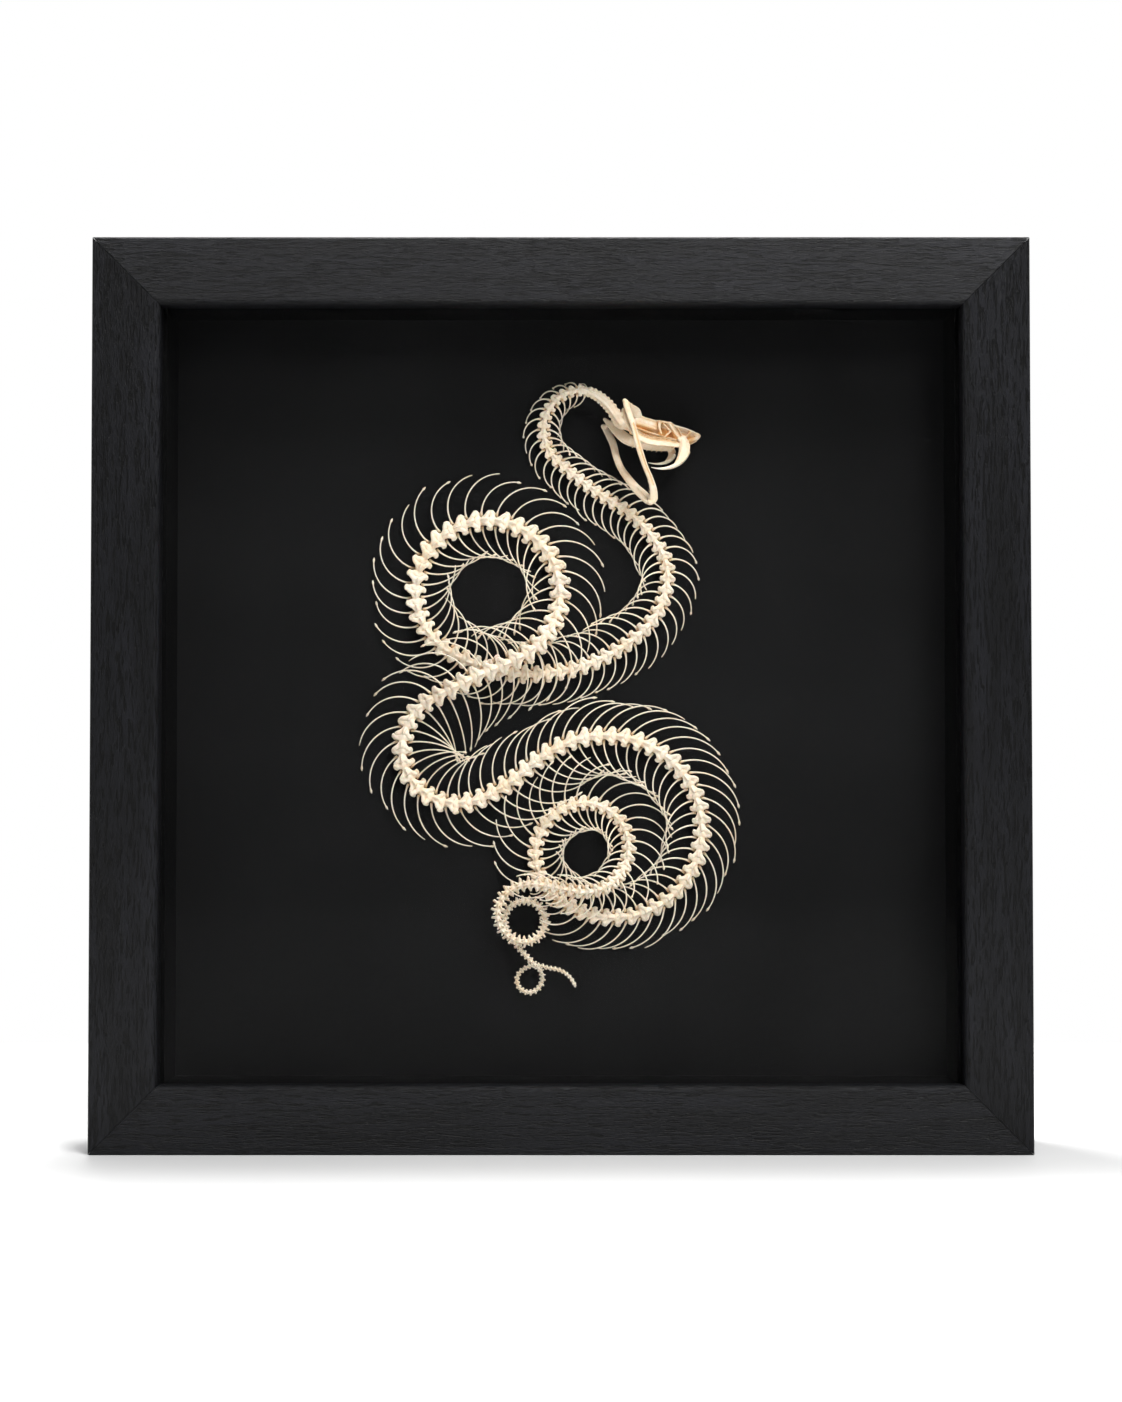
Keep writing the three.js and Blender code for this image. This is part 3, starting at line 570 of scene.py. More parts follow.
def add_vertebra(shape, mould, bone, index):
    points, faces, tones = mould
    ahead = station(min(bone["at"] + 1, BODY_LENGTH - 0.01))
    climb = ahead["level"] - bone["level"]
    heading = bone["heading"] + math.radians(VERTEBRA_SWING * (scatter(index + 0.9) - 0.5))
    out = np.array([0, -1.0, 0])
    tailward = np.array([math.cos(heading), 0, math.sin(heading)]) + climb * out
    tailward /= np.linalg.norm(tailward)
    left = np.array([-math.sin(heading), 0, math.cos(heading)])
    upward = np.cross(tailward, left)
    turn = math.radians(VERTEBRA_TURN * math.sin(2 * math.pi * bone["at"] / VERTEBRA_TURN_LENGTH)
                        + VERTEBRA_TWIST * (scatter(index + 0.3) - 0.5))
    left, upward = (left * math.cos(turn) + upward * math.sin(turn),
                    upward * math.cos(turn) - left * math.sin(turn))
    wide = bone["half"] / FULL_HALF * (1 + VERTEBRA_VARIETY * (scatter(index + 0.7) - 0.5))
    scales = np.array([bone["pitch"] / FULL_PITCH, wide, wide])
    centre = np.array([bone["x"], BOARD_FACE - bone["level"], bone["z"]])
    placed = centre + (points * scales) @ np.stack([tailward, left, upward])
    brightness = DARKEST_VERTEBRA + (1 - DARKEST_VERTEBRA) * scatter(index + 0.1)
    shape.add(placed, faces, tones * brightness)


RIB_SIDES = 7
RIB_HEAD = 0.75  # radius of the joint at the rib's root
RIB_ROOT_RADIUS, RIB_TIP_RADIUS = 0.36, 0.26
RIB_HEAD_LENGTH = 1.7
RIB_KNOB = 0.58  # radius near the tip of a rib that ends in gristle
BARE_TIPS = 0.35  # share of ribs without it
RIB_END = 0.7  # taper of the last ring
RIB_WAVES, RIB_WAVINESS = 9, 0.06  # radians of swelling and thinning down a rib, and how much
RIB_PHASES = 7  # range of radians at which it starts
RIB_FLATNESS = 0.85
RIB_TONE, HEAD_SHADE, TIP_TONE = 0.97, 0.25, 0.9
TIP_START = 0.8


def add_rib(shape, points, index, side):
    """A thin rib with a swollen head, a flattened shaft and a small knob of gristle at its tip."""
    centres = np.array([(x, BOARD_FACE - height, z) for x, z, height in points])
    t = np.linspace(0, 1, len(centres))
    length = np.linalg.norm(np.diff(centres, axis=0), axis=1).sum()
    radii = RIB_ROOT_RADIUS + (RIB_TIP_RADIUS - RIB_ROOT_RADIUS) * t
    wave = np.sin(RIB_WAVES * t + RIB_PHASES * scatter(index + 0.2))
    radii = radii * (1 + RIB_WAVINESS * wave)
    head = np.exp(-((t * length / RIB_HEAD_LENGTH) ** 2))
    radii = radii + (RIB_HEAD - RIB_ROOT_RADIUS) * head
    radii[-1] *= RIB_END
    if scatter(index * 3 + side) > BARE_TIPS:
        radii[-2] = RIB_KNOB
    along = unit(np.gradient(centres, axis=0))
    across = unit(np.cross(along, (0, -1.0, 0)))
    tip = np.clip((t - TIP_START) / (1 - TIP_START), 0, 1) ** 2
    # painted shade darkens the rib's head, where it meets its vertebra
    tones = RIB_TONE - HEAD_SHADE * head - (RIB_TONE - TIP_TONE) * tip
    tube(shape, centres, across, np.cross(across, along), radii, radii * RIB_FLATNESS, RIB_SIDES,
         tones)


SMOOTH_NECK = 16  # distance from the skull to which the vertebrae make a ribbed rod
NECK_STATIONS = (14, 11, 8, 5, 2)
NECK_REACH = (2, 4, 6.4)  # how far the rod goes on below the skull
NECK_HALF, NECK_THICK = 2.65, 2.1  # half the rod's width and thickness at the skull
NECK_NARROWEST = 0.72  # its size where the rod starts, as a part of that
NECK_RISE = 0.3  # away from the board, per millimetre
NECK_CREST = (-0.7, 0, 0.5, 0.35)  # (shift to the right, sunk, half-width, half-thickness)
NECK_GROOVE = (0.9, 0.25, 0.35, 0.3)
NECK_KNOB, KNOB_PLACE = 0.75, 0.9  # radius of its side knobs, and how far out in half-widths
NECK_CELL, NECK_TONE = 0.3, 0.9


def neck_rod():
    """Knots of the fused first vertebrae, from the ribbed neck to below the braincase."""
    knots = [(bone["x"], bone["level"], bone["z"]) for bone in map(station, NECK_STATIONS)]
    heading = math.radians(START["heading"])
    for distance in NECK_REACH:
        knots.append((START["x"] - distance * math.cos(heading),
                      LEVELS[0][1] + NECK_RISE * distance,
                      START["z"] - distance * math.sin(heading)))
    parts = np.linspace(NECK_NARROWEST, 1, len(knots))
    return [(x, BOARD_FACE - level, z, NECK_HALF * part, NECK_THICK * part)
            for (x, level, z), part in zip(knots, parts)]


def beside(line, shift, sunk, wide, thick):
    """Knots of a thin strap on the face of a thick one, off its middle."""
    return [(x + shift, y - deep - sunk, z + shift, wide, thick) for x, y, z, _, deep in line]


def neck_form(knots):
    """The rod, with a crest and a groove beside its middle and knobs on both edges."""
    line = curve(knots)
    crest, groove = beside(line, *NECK_CREST), beside(line, *NECK_GROOVE)

    def form(at):
        found = merge(strap(at, line, (0, 1, 0)), strap(at, crest, (0, 1, 0)), 0.4)
        for (x, y, z, wide, _), ahead in zip(line[::2], line[1::2]):
            along = np.array((ahead[0] - x, ahead[2] - z))
            sideways = wide * along[::-1] / np.linalg.norm(along) * (-1, 1)
            for side in (-KNOB_PLACE, KNOB_PLACE):
                spot = (x + side * sideways[0], y - 0.5, z + side * sideways[1])
                found = merge(found, ball(at, spot, (NECK_KNOB,) * 3), 0.5)
        return carve(found, strap(at, groove, (0, 1, 0)), 0.3)
    return form


def make_backbone():
    trunk = vertebra_mould(TRUNK_VERTEBRA, TRUNK_CELL)
    neck = vertebra_mould(NECK_VERTEBRA, SMALL_CELL)
    tail = vertebra_mould(TAIL_VERTEBRA, SMALL_CELL)
    for (name, start), (_, end) in zip(LENGTHS, LENGTHS[1:] + [("end", BODY_LENGTH)]):
        bones, ribs = Shape(), Shape()
        if start == 0:
            knots = neck_rod()
            # painted shade in the rod's hollows, down to a tone of 0.3
            solid(bones, neck_form(knots), *knot_box(knots), NECK_CELL, hollow_shade_tone=0.3)
            bones.tones[0] = NECK_TONE * bones.tones[0]
        for index, bone in enumerate(vertebrae):
            if not start <= bone["at"] < end:
                continue
            mould = neck if bone["at"] < SMOOTH_NECK else trunk if bone["at"] <= LAST_RIB else tail
            add_vertebra(bones, mould, bone, index)
            for side, rib in zip((1, -1), bone["ribs"]):
                if rib:
                    add_rib(ribs, rib, index, side)
        bones.piece(f"{name}_vertebrae", BONE, "bone", name)
        if ribs.count:
            ribs.piece(f"{name}_ribs", BONE, "bone", name)


# ---- the skull ----

CRANIUM = [
    # braincase, with its higher rear part, condyle and keel
    (merge, 0, 1, ball, (5.0, 0, -1.6), (6.0, 4.6, 4.3)),
    (merge, 1.2, 1, ball, (11.5, 0, -2.0), (7.0, 3.7, 3.1)),
    (merge, 0.6, 1, strap, [(0.2, 0, 1.6, 0.7, 2.0), (3.5, 0, 2.1, 0.7, 2.6),
     (6.6, 0, 1.9, 0.6, 2.2)], (0, 0, 1)),
    (merge, 0.5, 1, ball, (-1.6, 0, -1.4), (1.5, 1.4, 1.2)),
    (merge, 0.9, 1, rod, (1.5, 0, -5.0), (9.5, 0, -5.0), 1.2, 0.9),
    (merge, 0.6, 2, ball, (1.2, 3.4, -0.6), (2.0, 1.6, 1.6)),
    # roof between the eyes, and the partition below it
    (merge, 0.6, 1, strap, [(8, 0, 0.3, 3.2, 0.7), (15, 0, 0.3, 2.8, 0.7),
     (19.5, 0, 0.2, 3.5, 0.7), (23.5, 0, 0.3, 3.2, 0.7), (27.5, 0, 0.2, 3.0, 0.6),
     (32, 0, -0.1, 2.6, 0.55), (34.8, 0, -0.2, 1.8, 0.5)], (0, 0, 1)),
    (merge, 0.5, 1, strap, [(12, 0, -4.6, 3.2, 1.0), (20, 0, -4.0, 3.6, 0.6),
     (27, 0, -3.2, 2.8, 0.45), (33.5, 0, -2.0, 1.6, 0.45)], (0, 1, 0)),
    (merge, 0.4, 2, strap, [(6, 2.4, -5.4, 1.2, 0.5), (13, 2.5, -6.2, 1.0, 0.45),
     (20, 2.8, -6.6, 0.9, 0.4), (26, 3.4, -7.0, 0.8, 0.4)], (0, 0.4, 1)),
    (merge, 0.3, 2, strap, [(15.5, 2.7, 0.2, 0.5, 0.35), (18.5, 3.4, 0.3, 0.55, 0.4),
     (21.5, 3.5, 0.3, 0.5, 0.4)], (0, 1, 0.4)),
    (merge, 0.6, 2, rod, (6.5, 3.6, -3.9), (15.0, 2.9, -4.0), 0.5, 0.4),
    # rim behind the eye
    (merge, 0.4, 2, strap, [(16.8, 2.6, 0.3, 0.8, 0.5), (16.2, 4.0, -1.6, 0.7, 0.5),
     (16.3, 4.3, -3.9, 0.6, 0.45), (17.3, 4.2, -6.0, 0.5, 0.4)], (0.2, 1, 0.3)),
    # prefrontal and its struts
    (merge, 0.4, 2, strap, [(21.8, 3.1, 0.3, 1.3, 0.5), (23.2, 3.9, -2.8, 1.0, 0.5),
     (25.2, 4.6, -5.6, 0.9, 0.5), (27.2, 5.1, -8.2, 1.0, 0.6)], (0.2, 1, 0.2)),
    (merge, 0.25, 2, rod, (18.4, 3.2, -0.7), (21.6, 4.1, -3.9), 0.42, 0.45),
    (merge, 0.25, 2, rod, (21.6, 4.1, -3.9), (19.0, 4.3, -7.4), 0.45, 0.4),
    # nasal bones, the struts below them and the upturned snout
    (merge, 0.4, 2, strap, [(24.5, 1.4, 0.3, 1.4, 0.4), (29, 1.7, 0.4, 1.5, 0.4),
     (33, 1.2, 0.2, 1.1, 0.4)], (0, 0.5, 1)),
    (merge, 0.3, 2, rod, (32.0, 2.0, -0.3), (28.0, 3.3, -6.0), 0.45, 0.42),
    (merge, 0.3, 2, rod, (25.2, 2.8, -0.6), (28.3, 3.4, -5.6), 0.4, 0.4),
    (merge, 0.25, 2, rod, (26.6, 3.0, -3.4), (30.4, 2.8, -3.6), 0.34, 0.3),
    (merge, 0.4, 2, strap, [(31.0, 2.0, -5.2, 0.9, 0.5), (33.6, 1.9, -3.6, 0.8, 0.55),
     (35.4, 1.2, -2.2, 0.9, 0.7)], (0.2, 1, 0.2)),
    (merge, 0.5, 1, ball, (35.4, 0, -0.9), (1.6, 2.1, 1.3)),
    (merge, 0.4, 1, ball, (36.3, 0, -0.5), (1.0, 1.2, 1.0)),
    # ear region, back of the braincase and the way in for the spinal cord
    (carve, 0.4, 2, ball, (3.4, 4.9, -2.6), (1.5, 0.9, 1.3)),
    (carve, 0.6, 2, ball, (9.8, 4.3, -4.4), (2.6, 1.2, 1.0)),
    (carve, 0.3, 1, ball, (-1.6, 0, 0.6), (1.6, 1.1, 0.9)),
]

# (x, distance out, z, half-width, half-thickness) of each bone's knots
QUADRATES = {
    "right": [(6.2, 4.6, -0.4, 1.5, 0.7), (4.7, 5.6, 0.2, 2.1, 0.8), (2.6, 7.3, 0.3, 1.8, 0.7),
              (0.2, 9.4, 0.0, 1.2, 0.7), (-1.9, 11.6, -0.3, 1.1, 0.8),
              (-3.3, 13.1, -0.5, 1.2, 1.0)],
    "left": [(7.0, 4.6, -0.6, 1.5, 0.5), (4.4, 5.6, 1.0, 1.8, 0.6), (1.6, 7.2, 1.9, 1.2, 0.6),
             (-0.6, 9.4, 1.5, 0.9, 0.7), (-2.2, 12.0, 0.6, 1.0, 0.8),
             (-3.2, 13.2, -0.5, 1.1, 1.0)],
}
MANDIBLES = {
    "right": [(-3.5, 13.3, -0.4, 1.2, 1.0), (-2.7, 13.0, -2.2, 1.5, 0.9),
              (-0.6, 12.0, -5.6, 1.5, 0.8), (2.1, 11.0, -10.6, 1.25, 0.9),
              (4.5, 9.6, -15.4, 1.5, 0.9), (7.4, 8.0, -20.5, 1.5, 0.9),
              (10.6, 6.4, -25.4, 1.35, 0.9), (13.6, 5.0, -29.2, 1.5, 0.9),
              (16.0, 3.2, -33.0, 1.8, 0.95), (17.1, 1.5, -36.4, 1.9, 0.95),
              (16.2, 0.7, -38.2, 1.4, 0.8)],
    "left": [(-3.2, 13.3, -0.5, 1.0, 0.9), (-1.9, 12.8, -2.3, 1.5, 0.9),
             (-0.6, 12.0, -5.0, 1.7, 0.9), (1.1, 11.3, -8.8, 1.7, 0.9),
             (2.5, 10.0, -15.0, 1.6, 0.9), (4.5, 8.6, -20.5, 1.6, 0.9),
             (7.4, 6.8, -25.4, 1.8, 0.9), (10.7, 4.6, -30.4, 2.1, 0.9),
             (13.9, 2.8, -33.9, 2.3, 0.9), (15.8, 1.6, -36.4, 2.1, 0.9),
             (16.2, 0.9, -37.8, 1.4, 0.7)],
}
PALATES = {
    "right": [(-3.0, 10.4, -2.6, 0.9, 0.5), (-1.2, 9.6, -5.8, 1.4, 0.5),
              (1.6, 8.1, -8.8, 1.8, 0.55), (5.6, 6.4, -11.0, 2.2, 0.6),
              (10.2, 5.2, -11.4, 2.4, 0.6), (15.2, 4.7, -10.9, 2.3, 0.6),
              (20.0, 4.5, -10.0, 2.1, 0.6), (24.2, 4.6, -9.8, 1.7, 0.6),
              (26.6, 5.0, -10.2, 1.1, 0.6)],
    "left": [(-4.6, 9.8, 1.8, 0.7, 0.5), (-2.6, 9.0, -0.2, 1.4, 0.5), (0.6, 7.8, -3.2, 2.2, 0.55),
             (4.2, 6.6, -6.4, 2.5, 0.6), (7.4, 5.6, -8.0, 2.3, 0.6), (12.0, 4.8, -8.7, 2.0, 0.6),
             (17.0, 4.3, -8.7, 1.8, 0.6), (22.0, 4.2, -8.0, 1.5, 0.6),
             (26.0, 4.6, -7.2, 1.0, 0.6)],
}
FANGS = {
    "right": {"root": (29.9, 5.6, -9.4), "tip": (13.4, -24.3), "radius": 1.25, "size": 1.0},
    "left": {"root": (27.6, 5.4, -8.6), "tip": (15.8, -16.4), "radius": 0.8, "size": 0.6},
}
SOCKET = [  # (degrees round the fang's course, inset, half-width, half-thickness)
    (-12, 2.2, 1.6, 1.0), (2, 1.9, 2.5, 1.2), (15, 1.4, 2.4, 1.3), (27, 1.0, 2.0, 1.2),
    (37, 0.6, 1.5, 1.05), (45, 0.3, 1.0, 0.85),
]
FLUTES = (0.75, 0.3, -0.2, -0.65)  # places across the socket, in parts of its half-width
PALATE_RIDGES = (0.85, 0.45, 0.0, -0.45, -0.85)


def ridge(knots, rise, radius):
    """Knots of a thin ridge on a strap's outer face, a part of its half-width above the middle."""
    return [(x, out + thick * math.sqrt(1 - rise ** 2), z + rise * wide, radius, radius)
            for x, out, z, wide, thick in knots]


def quadrate_form(knots):
    """A blade that stands on edge, with a short spine and the joint for the lower jaw."""
    line = curve(knots)
    face = (0.33, 0.39, -0.31)

    def form(at):
        found = strap(at, line, face)
        rim = [(x, out + 0.3, z + 0.75 * wide, 0.35, 0.5) for x, out, z, wide, _ in line]
        found = merge(found, strap(at, rim[:-3], face), 0.4)
        x, out, z, wide, _ = knots[3]
        spine = rod(at, (x, out, z + 0.6 * wide), (x + 0.6, out, z + 1.7 * wide), 0.5, 0.15)
        found = merge(found, spine, 0.3)
        x, out, z, _, _ = knots[-1]
        joint = rod(at, (x - 0.6, out, z + 0.6), (x + 0.6, out, z - 0.5), 1.0, 1.0)
        return merge(found, joint, 0.4)
    return form


def mandible_form(knots):
    """A bar with a ridge along its upper part and a groove in its front half."""
    line = curve(knots)

    def form(at):
        found = strap(at, line, (0, 1, 0.25))
        found = merge(found, strap(at, ridge(line[1:-5], 0.45, 0.4), (0, 1, 0)), 0.4)
        return carve(found, strap(at, ridge(line[8:-7], -0.15, 0.22), (0, 1, 0)), 0.2)
    return form


def palate_form(knots):
    """A band with fine ridges along it."""
    line = curve(knots)

    def form(at):
        found = strap(at, line, (0.1, 1, 0.35))
        for rise in PALATE_RIDGES:
            found = merge(found, strap(at, ridge(line[2:-3], rise, 0.2), (0, 1, 0)), 0.12)
        return found
    return form


def maxilla_form(fang):
    """The fang's fluted socket, which follows the fang's course."""
    x, out, z = fang["root"]
    tip_x, tip_z = fang["tip"]
    size = fang["size"]
    knots = []
    for angle, inset, wide, thick in SOCKET:
        turn = math.radians(angle)
        knots.append((tip_x + (x - tip_x - inset * size) * math.cos(turn), out,
                      z + (tip_z - z + inset * size) * math.sin(turn), wide * size, thick * size))
    line = curve(knots)

    def form(at):
        found = strap(at, line, (0, 1, 0.1))
        for rise in FLUTES:
            flute = []
            for (x, out, z, wide, thick), ahead in zip(line, line[1:]):
                along = np.subtract(ahead[:3], (x, out, z))
                along /= np.linalg.norm(along)
                flute.append((x - along[2] * wide * rise, out + 0.75 * thick,
                              z + along[0] * wide * rise, 0.34, 0.34))
            found = merge(found, strap(at, flute[1:-2], (0, 1, 0)), 0.25)
        x, out, z, wide, _ = knots[0]
        hinge = ball(at, (x - 1.2 * size, out - 0.2, z - 0.6), (1.6 * size, 0.9, 1.2))
        found = merge(found, hinge, 0.6)
        return carve(found, ball(at, (x + 1.6 * size, out + 1.3, z - 1.6), (0.7, 0.6, 0.9)), 0.3)
    return form


FANG_STEPS, FANG_SIDES, FANG_POINT = 26, 14, 0.1
FANG_START = 0.12  # part of the quarter ellipse that is inside the socket
FANG_TAPER = 1.6
FANG_FLATNESS = 0.85
FANG_TONES = (0.55, 0.97)  # at its root and at its tip


def add_fang(shape, fang, sign, out_shift=0.0, reach=1.0, thickness=1.0):
    """A curved tooth: most of a quarter of an ellipse, from its root back to its tip."""
    x, out, z = fang["root"]
    tip_x, tip_z = fang["tip"]
    t = np.linspace(0, reach, FANG_STEPS)
    angle = np.pi / 2 * (FANG_START + (1 - FANG_START) * t)
    centres = np.stack([
        tip_x + (x - tip_x) * np.cos(angle), np.full(FANG_STEPS, sign * (out + out_shift)),
        z + (tip_z - z) * np.sin(angle)], 1)
    radii = thickness * (fang["radius"] * (1 - (t / reach) ** FANG_TAPER) + FANG_POINT)
    along = unit(np.gradient(centres, axis=0))
    across = np.broadcast_to((0, 1.0, 0), centres.shape)
    tones = FANG_TONES[0] + (FANG_TONES[1] - FANG_TONES[0]) * np.sqrt(t / reach)
    tube(shape, centres, across, np.cross(along, across), radii * FANG_FLATNESS, radii, FANG_SIDES,
         tones)


TOOTH_STEPS, TOOTH_SIDES = 6, 6
TOOTH_RADIUS, TOOTH_POINT = 0.3, 0.05
TOOTH_SET = 0.85  # how far out on its bone a tooth stands, in half-widths
TOOTH_HOOK = 0.5  # how far its tip points back, per length
TOOTH_TONE = 0.9


def add_teeth(shape, knots, sign, start, end, count, length, lean):
    """Small curved teeth in a row between two distances, as parts of the way along the knots."""
    line = np.array([knot[:3] for knot in knots])
    wide = np.array([knot[3] for knot in knots])
    for i in range(count):
        t = (start + (end - start) * i / (count - 1)) * (len(knots) - 1)
        spot = np.array([np.interp(t, range(len(knots)), line[:, j]) for j in range(3)])
        ahead = np.array([np.interp(min(t + 0.1, len(knots) - 1), range(len(knots)), line[:, j])
                          for j in range(3)]) - spot
        ahead /= np.linalg.norm(ahead)
        down = np.array(lean) / np.linalg.norm(lean)
        base = spot + down * np.interp(t, range(len(knots)), wide) * TOOTH_SET
        size = length * (0.8 + 0.4 * scatter(i + start))
        bend = np.linspace(0, 1, TOOTH_STEPS)
        centres = base + size * (bend[:, None] * down - TOOTH_HOOK * (bend ** 2)[:, None] * ahead)
        centres[:, 1] *= sign
        radii = TOOTH_RADIUS * (1 - bend) + TOOTH_POINT
        along = unit(np.gradient(centres, axis=0))
        across = unit(np.cross(along, (0, 1.0, 0)))
        tube(shape, centres, across, np.cross(across, along), radii, radii, TOOTH_SIDES, TOOTH_TONE)


def knot_box(knots, margin=3.2):
    """Corners of a box with room for a strap through the knots."""
    points = np.array([knot[:3] for knot in knots])
    return points.min(0) - margin, points.max(0) + margin


def place_skull(shape):
    """Turns the gathered bodies from the skull's own frame into the object's."""
    shape.tones = [SKULL_TONE * tones for tones in shape.tones]
    angles = (math.radians(angle) for angle in (SKULL_ROLL, SKULL_PITCH, SKULL_YAW))
    turn = np.array(Euler(tuple(angles), "XYZ").to_matrix())
    shape.points = [np.array(OCCIPUT) + points @ turn.T for points in shape.points]


def mirrored(shape):
    """The gathered bodies on the other side of the skull."""
    shape.points = [points * (1, -1, 1) for points in shape.points]
    shape.faces = [faces[:, ::-1] for faces in shape.faces]


EYE_REAR, NOSE_FRONT, FACE_TOP, FACE_HALF = 15.5, 34.5, -0.6, 3.6
BASE_X, BASE_Z = 9.0, -5.4  # middle of the painted shade below the braincase
# a little darker over the face, painted shade deep inside it, painted shade below the braincase
FACE_AMBER, DEEP_FACE_SHADE, UNDERSIDE_SHADE = 0.18, 0.8, 0.7


def amber(points, tones):
    """The thin bone of the face below its roof, between the eye and the nose, is made a little
    darker and more amber. Deep inside the face, near its middle, painted shade darkens it much
    more, and painted shade darkens the bone below the braincase.
    """
    x, y, z = points.T
    lengthwise = np.clip((x - EYE_REAR) / 2.5, 0, 1) * np.clip((NOSE_FRONT - x) / 2, 0, 1)
    face = lengthwise * np.clip((FACE_TOP - z) / 1.6, 0, 1)
    # painted shade deep inside the face, near its middle
    deep = np.clip((FACE_HALF - np.abs(y)) / 1.8, 0, 1)
    # painted shade below the braincase
    below = np.exp(-(((x - BASE_X) / 6.0) ** 2 + ((z - BASE_Z) / 1.8) ** 2))
    darker = DEEP_FACE_SHADE * face * deep + FACE_AMBER * face + UNDERSIDE_SHADE * below
    return np.clip(tones - darker, 0, 1)


CRANIUM_LOW, CRANIUM_HIGH, CRANIUM_CELL = (-4.5, -7.2, -9.6), (39, 7.2, 4.6), 0.24
JAW_CELL, SOCKET_CELL = 0.3, 0.26
SOCKET_BEHIND, SOCKET_AHEAD = (12, 3, 17), (-3, -3, -5)  # room round a fang's root
JAW_BONES = [  # (name, knots, form, arguments of its row of teeth)
    ("quadrate", QUADRATES, quadrate_form, None),
    ("mandible", MANDIBLES, mandible_form, (0.78, 0.97, 5, 1.3, (-0.7, -0.2, 0.6))),
    ("palate", PALATES, palate_form, (0.3, 0.86, 11, 1.1, (0, 0, -1))),
]
SPARE_FANG = {"out_shift": -1.3, "reach": 0.55, "thickness": 0.75}  # the next one, beside the first


def make_skull():
    shape = Shape()
    # painted shade in the cranium's hollows, down to a tone of 0.12
    solid(shape, lambda at: build(at, CRANIUM), CRANIUM_LOW, CRANIUM_HIGH, CRANIUM_CELL,
          hollow_shade_tone=0.12)
    shape.tones[0] = amber(shape.points[0], shape.tones[0])
    place_skull(shape)
    shape.piece("cranium_bone", BONE, "bone", "cranium")
    for side, sign in (("right", -1), ("left", 1)):
        for name, knots, form, teeth in JAW_BONES:
            shape = Shape()
            # painted shade in each bone's hollows, down to a tone of 0.2
            solid(shape, form(knots[side]), *knot_box(knots[side]), JAW_CELL, hollow_shade_tone=0.2)
            if sign < 0:
                mirrored(shape)
            if teeth:
                add_teeth(shape, knots[side], sign, *teeth)
            place_skull(shape)
            shape.piece(f"{name}_{side}_bone", BONE, "bone", f"{name}_{side}")
        fang = FANGS[side]
        shape = Shape()
        low = np.subtract(fang["root"], SOCKET_BEHIND)
        high = np.subtract(fang["root"], SOCKET_AHEAD)
        # painted shade in the socket's hollows, down to a tone of 0.25
        solid(shape, maxilla_form(fang), low, high, SOCKET_CELL, hollow_shade_tone=0.25)
        if sign < 0:
            mirrored(shape)
        place_skull(shape)
        shape.piece(f"maxilla_{side}_bone", BONE, "bone", f"maxilla_{side}")
        shape = Shape()
        add_fang(shape, fang, sign)
        add_fang(shape, fang, sign, **SPARE_FANG)
        place_skull(shape)
        shape.piece(f"fang_{side}", TOOTH, "bone", f"maxilla_{side}")


# ---- materials ----


RANGE = ("From Min", "From Max", "To Min", "To Max")


class Finish:
    """A material of nodes round one principled shader."""

    def __init__(self, name, **sockets):
        self.material = bpy.data.materials.new(name)
        self.material.use_nodes = True
        self.nodes = self.material.node_tree.nodes
        self.links = self.material.node_tree.links
        self.shader = self.nodes["Principled BSDF"]
        for socket, value in sockets.items():
            self.shader.inputs[socket.replace("_", " ")].default_value = value

    def node(self, kind, **values):
        """A node with these properties; a value that is a node's output is linked to the input."""
        made = self.nodes.new(kind)
        for key, value in values.items():
            name = key.replace("_", " ")
            if key in made.bl_rna.properties and key != "inputs":
                setattr(made, key, value)
            elif isinstance(value, bpy.types.NodeSocket):
                self.links.new(value, made.inputs[name])
            else:
                made.inputs[name].default_value = value
        return made

    def place(self, scale):
        """The object's own coordinates, scaled: how many times the pattern repeats in a metre."""
        coordinates = self.node("ShaderNodeTexCoord").outputs["Object"]
        return self.node("ShaderNodeMapping", Vector=coordinates, Scale=scale).outputs["Vector"]

    def noise(self, scale, detail=3.0, rough=0.5):
        """Noise from 0 to 1. A triple of scales stretches it."""
        scale = (scale,) * 3 if isinstance(scale, (int, float)) else scale
        return self.node("ShaderNodeTexNoise", Vector=self.place(scale), Scale=1.0, Detail=detail,
                         Roughness=rough).outputs["Fac"]

    def math(self, operation, first, second):
        made = self.nodes.new("ShaderNodeMath")
        made.operation = operation
        for socket, value in zip(made.inputs, (first, second)):
            if isinstance(value, bpy.types.NodeSocket):
                self.links.new(value, socket)
            else:
                socket.default_value = value
        return made.outputs[0]

    def spread(self, value, low, high, to_low=0.0, to_high=1.0):
        """The part of value between low and high, spread over a new range."""
        made = self.node("ShaderNodeMapRange", Value=value)
        for name, number in zip(RANGE, (low, high, to_low, to_high)):
            made.inputs[name].default_value = number
        return made.outputs["Result"]

    def cloud(self, scale, low, high, detail=3.0):
        """Soft noise between two values."""
        return self.spread(self.noise(scale, detail), 0.3, 0.7, low, high)

    def ramp(self, value, *stops):
        """A colour for each value, from stops of (place, (red, green, blue))."""
        made = self.node("ShaderNodeValToRGB", Fac=value)
        elements = made.color_ramp.elements
        while len(elements) < len(stops):
            elements.new(0.5)
        for element, (place, colour) in zip(elements, stops):
            element.position = place
            element.color = (*colour, 1)
        return made.outputs["Color"]

    def set(self, socket, value):
        self.links.new(value, self.shader.inputs[socket])
        return self

    def bump(self, height, depth, strength=1.0):
        """Relief of this depth in millimetres."""
        bump = self.node("ShaderNodeBump", Height=height, Distance=depth * MM, Strength=strength)
        return self.set("Normal", bump.outputs["Normal"])


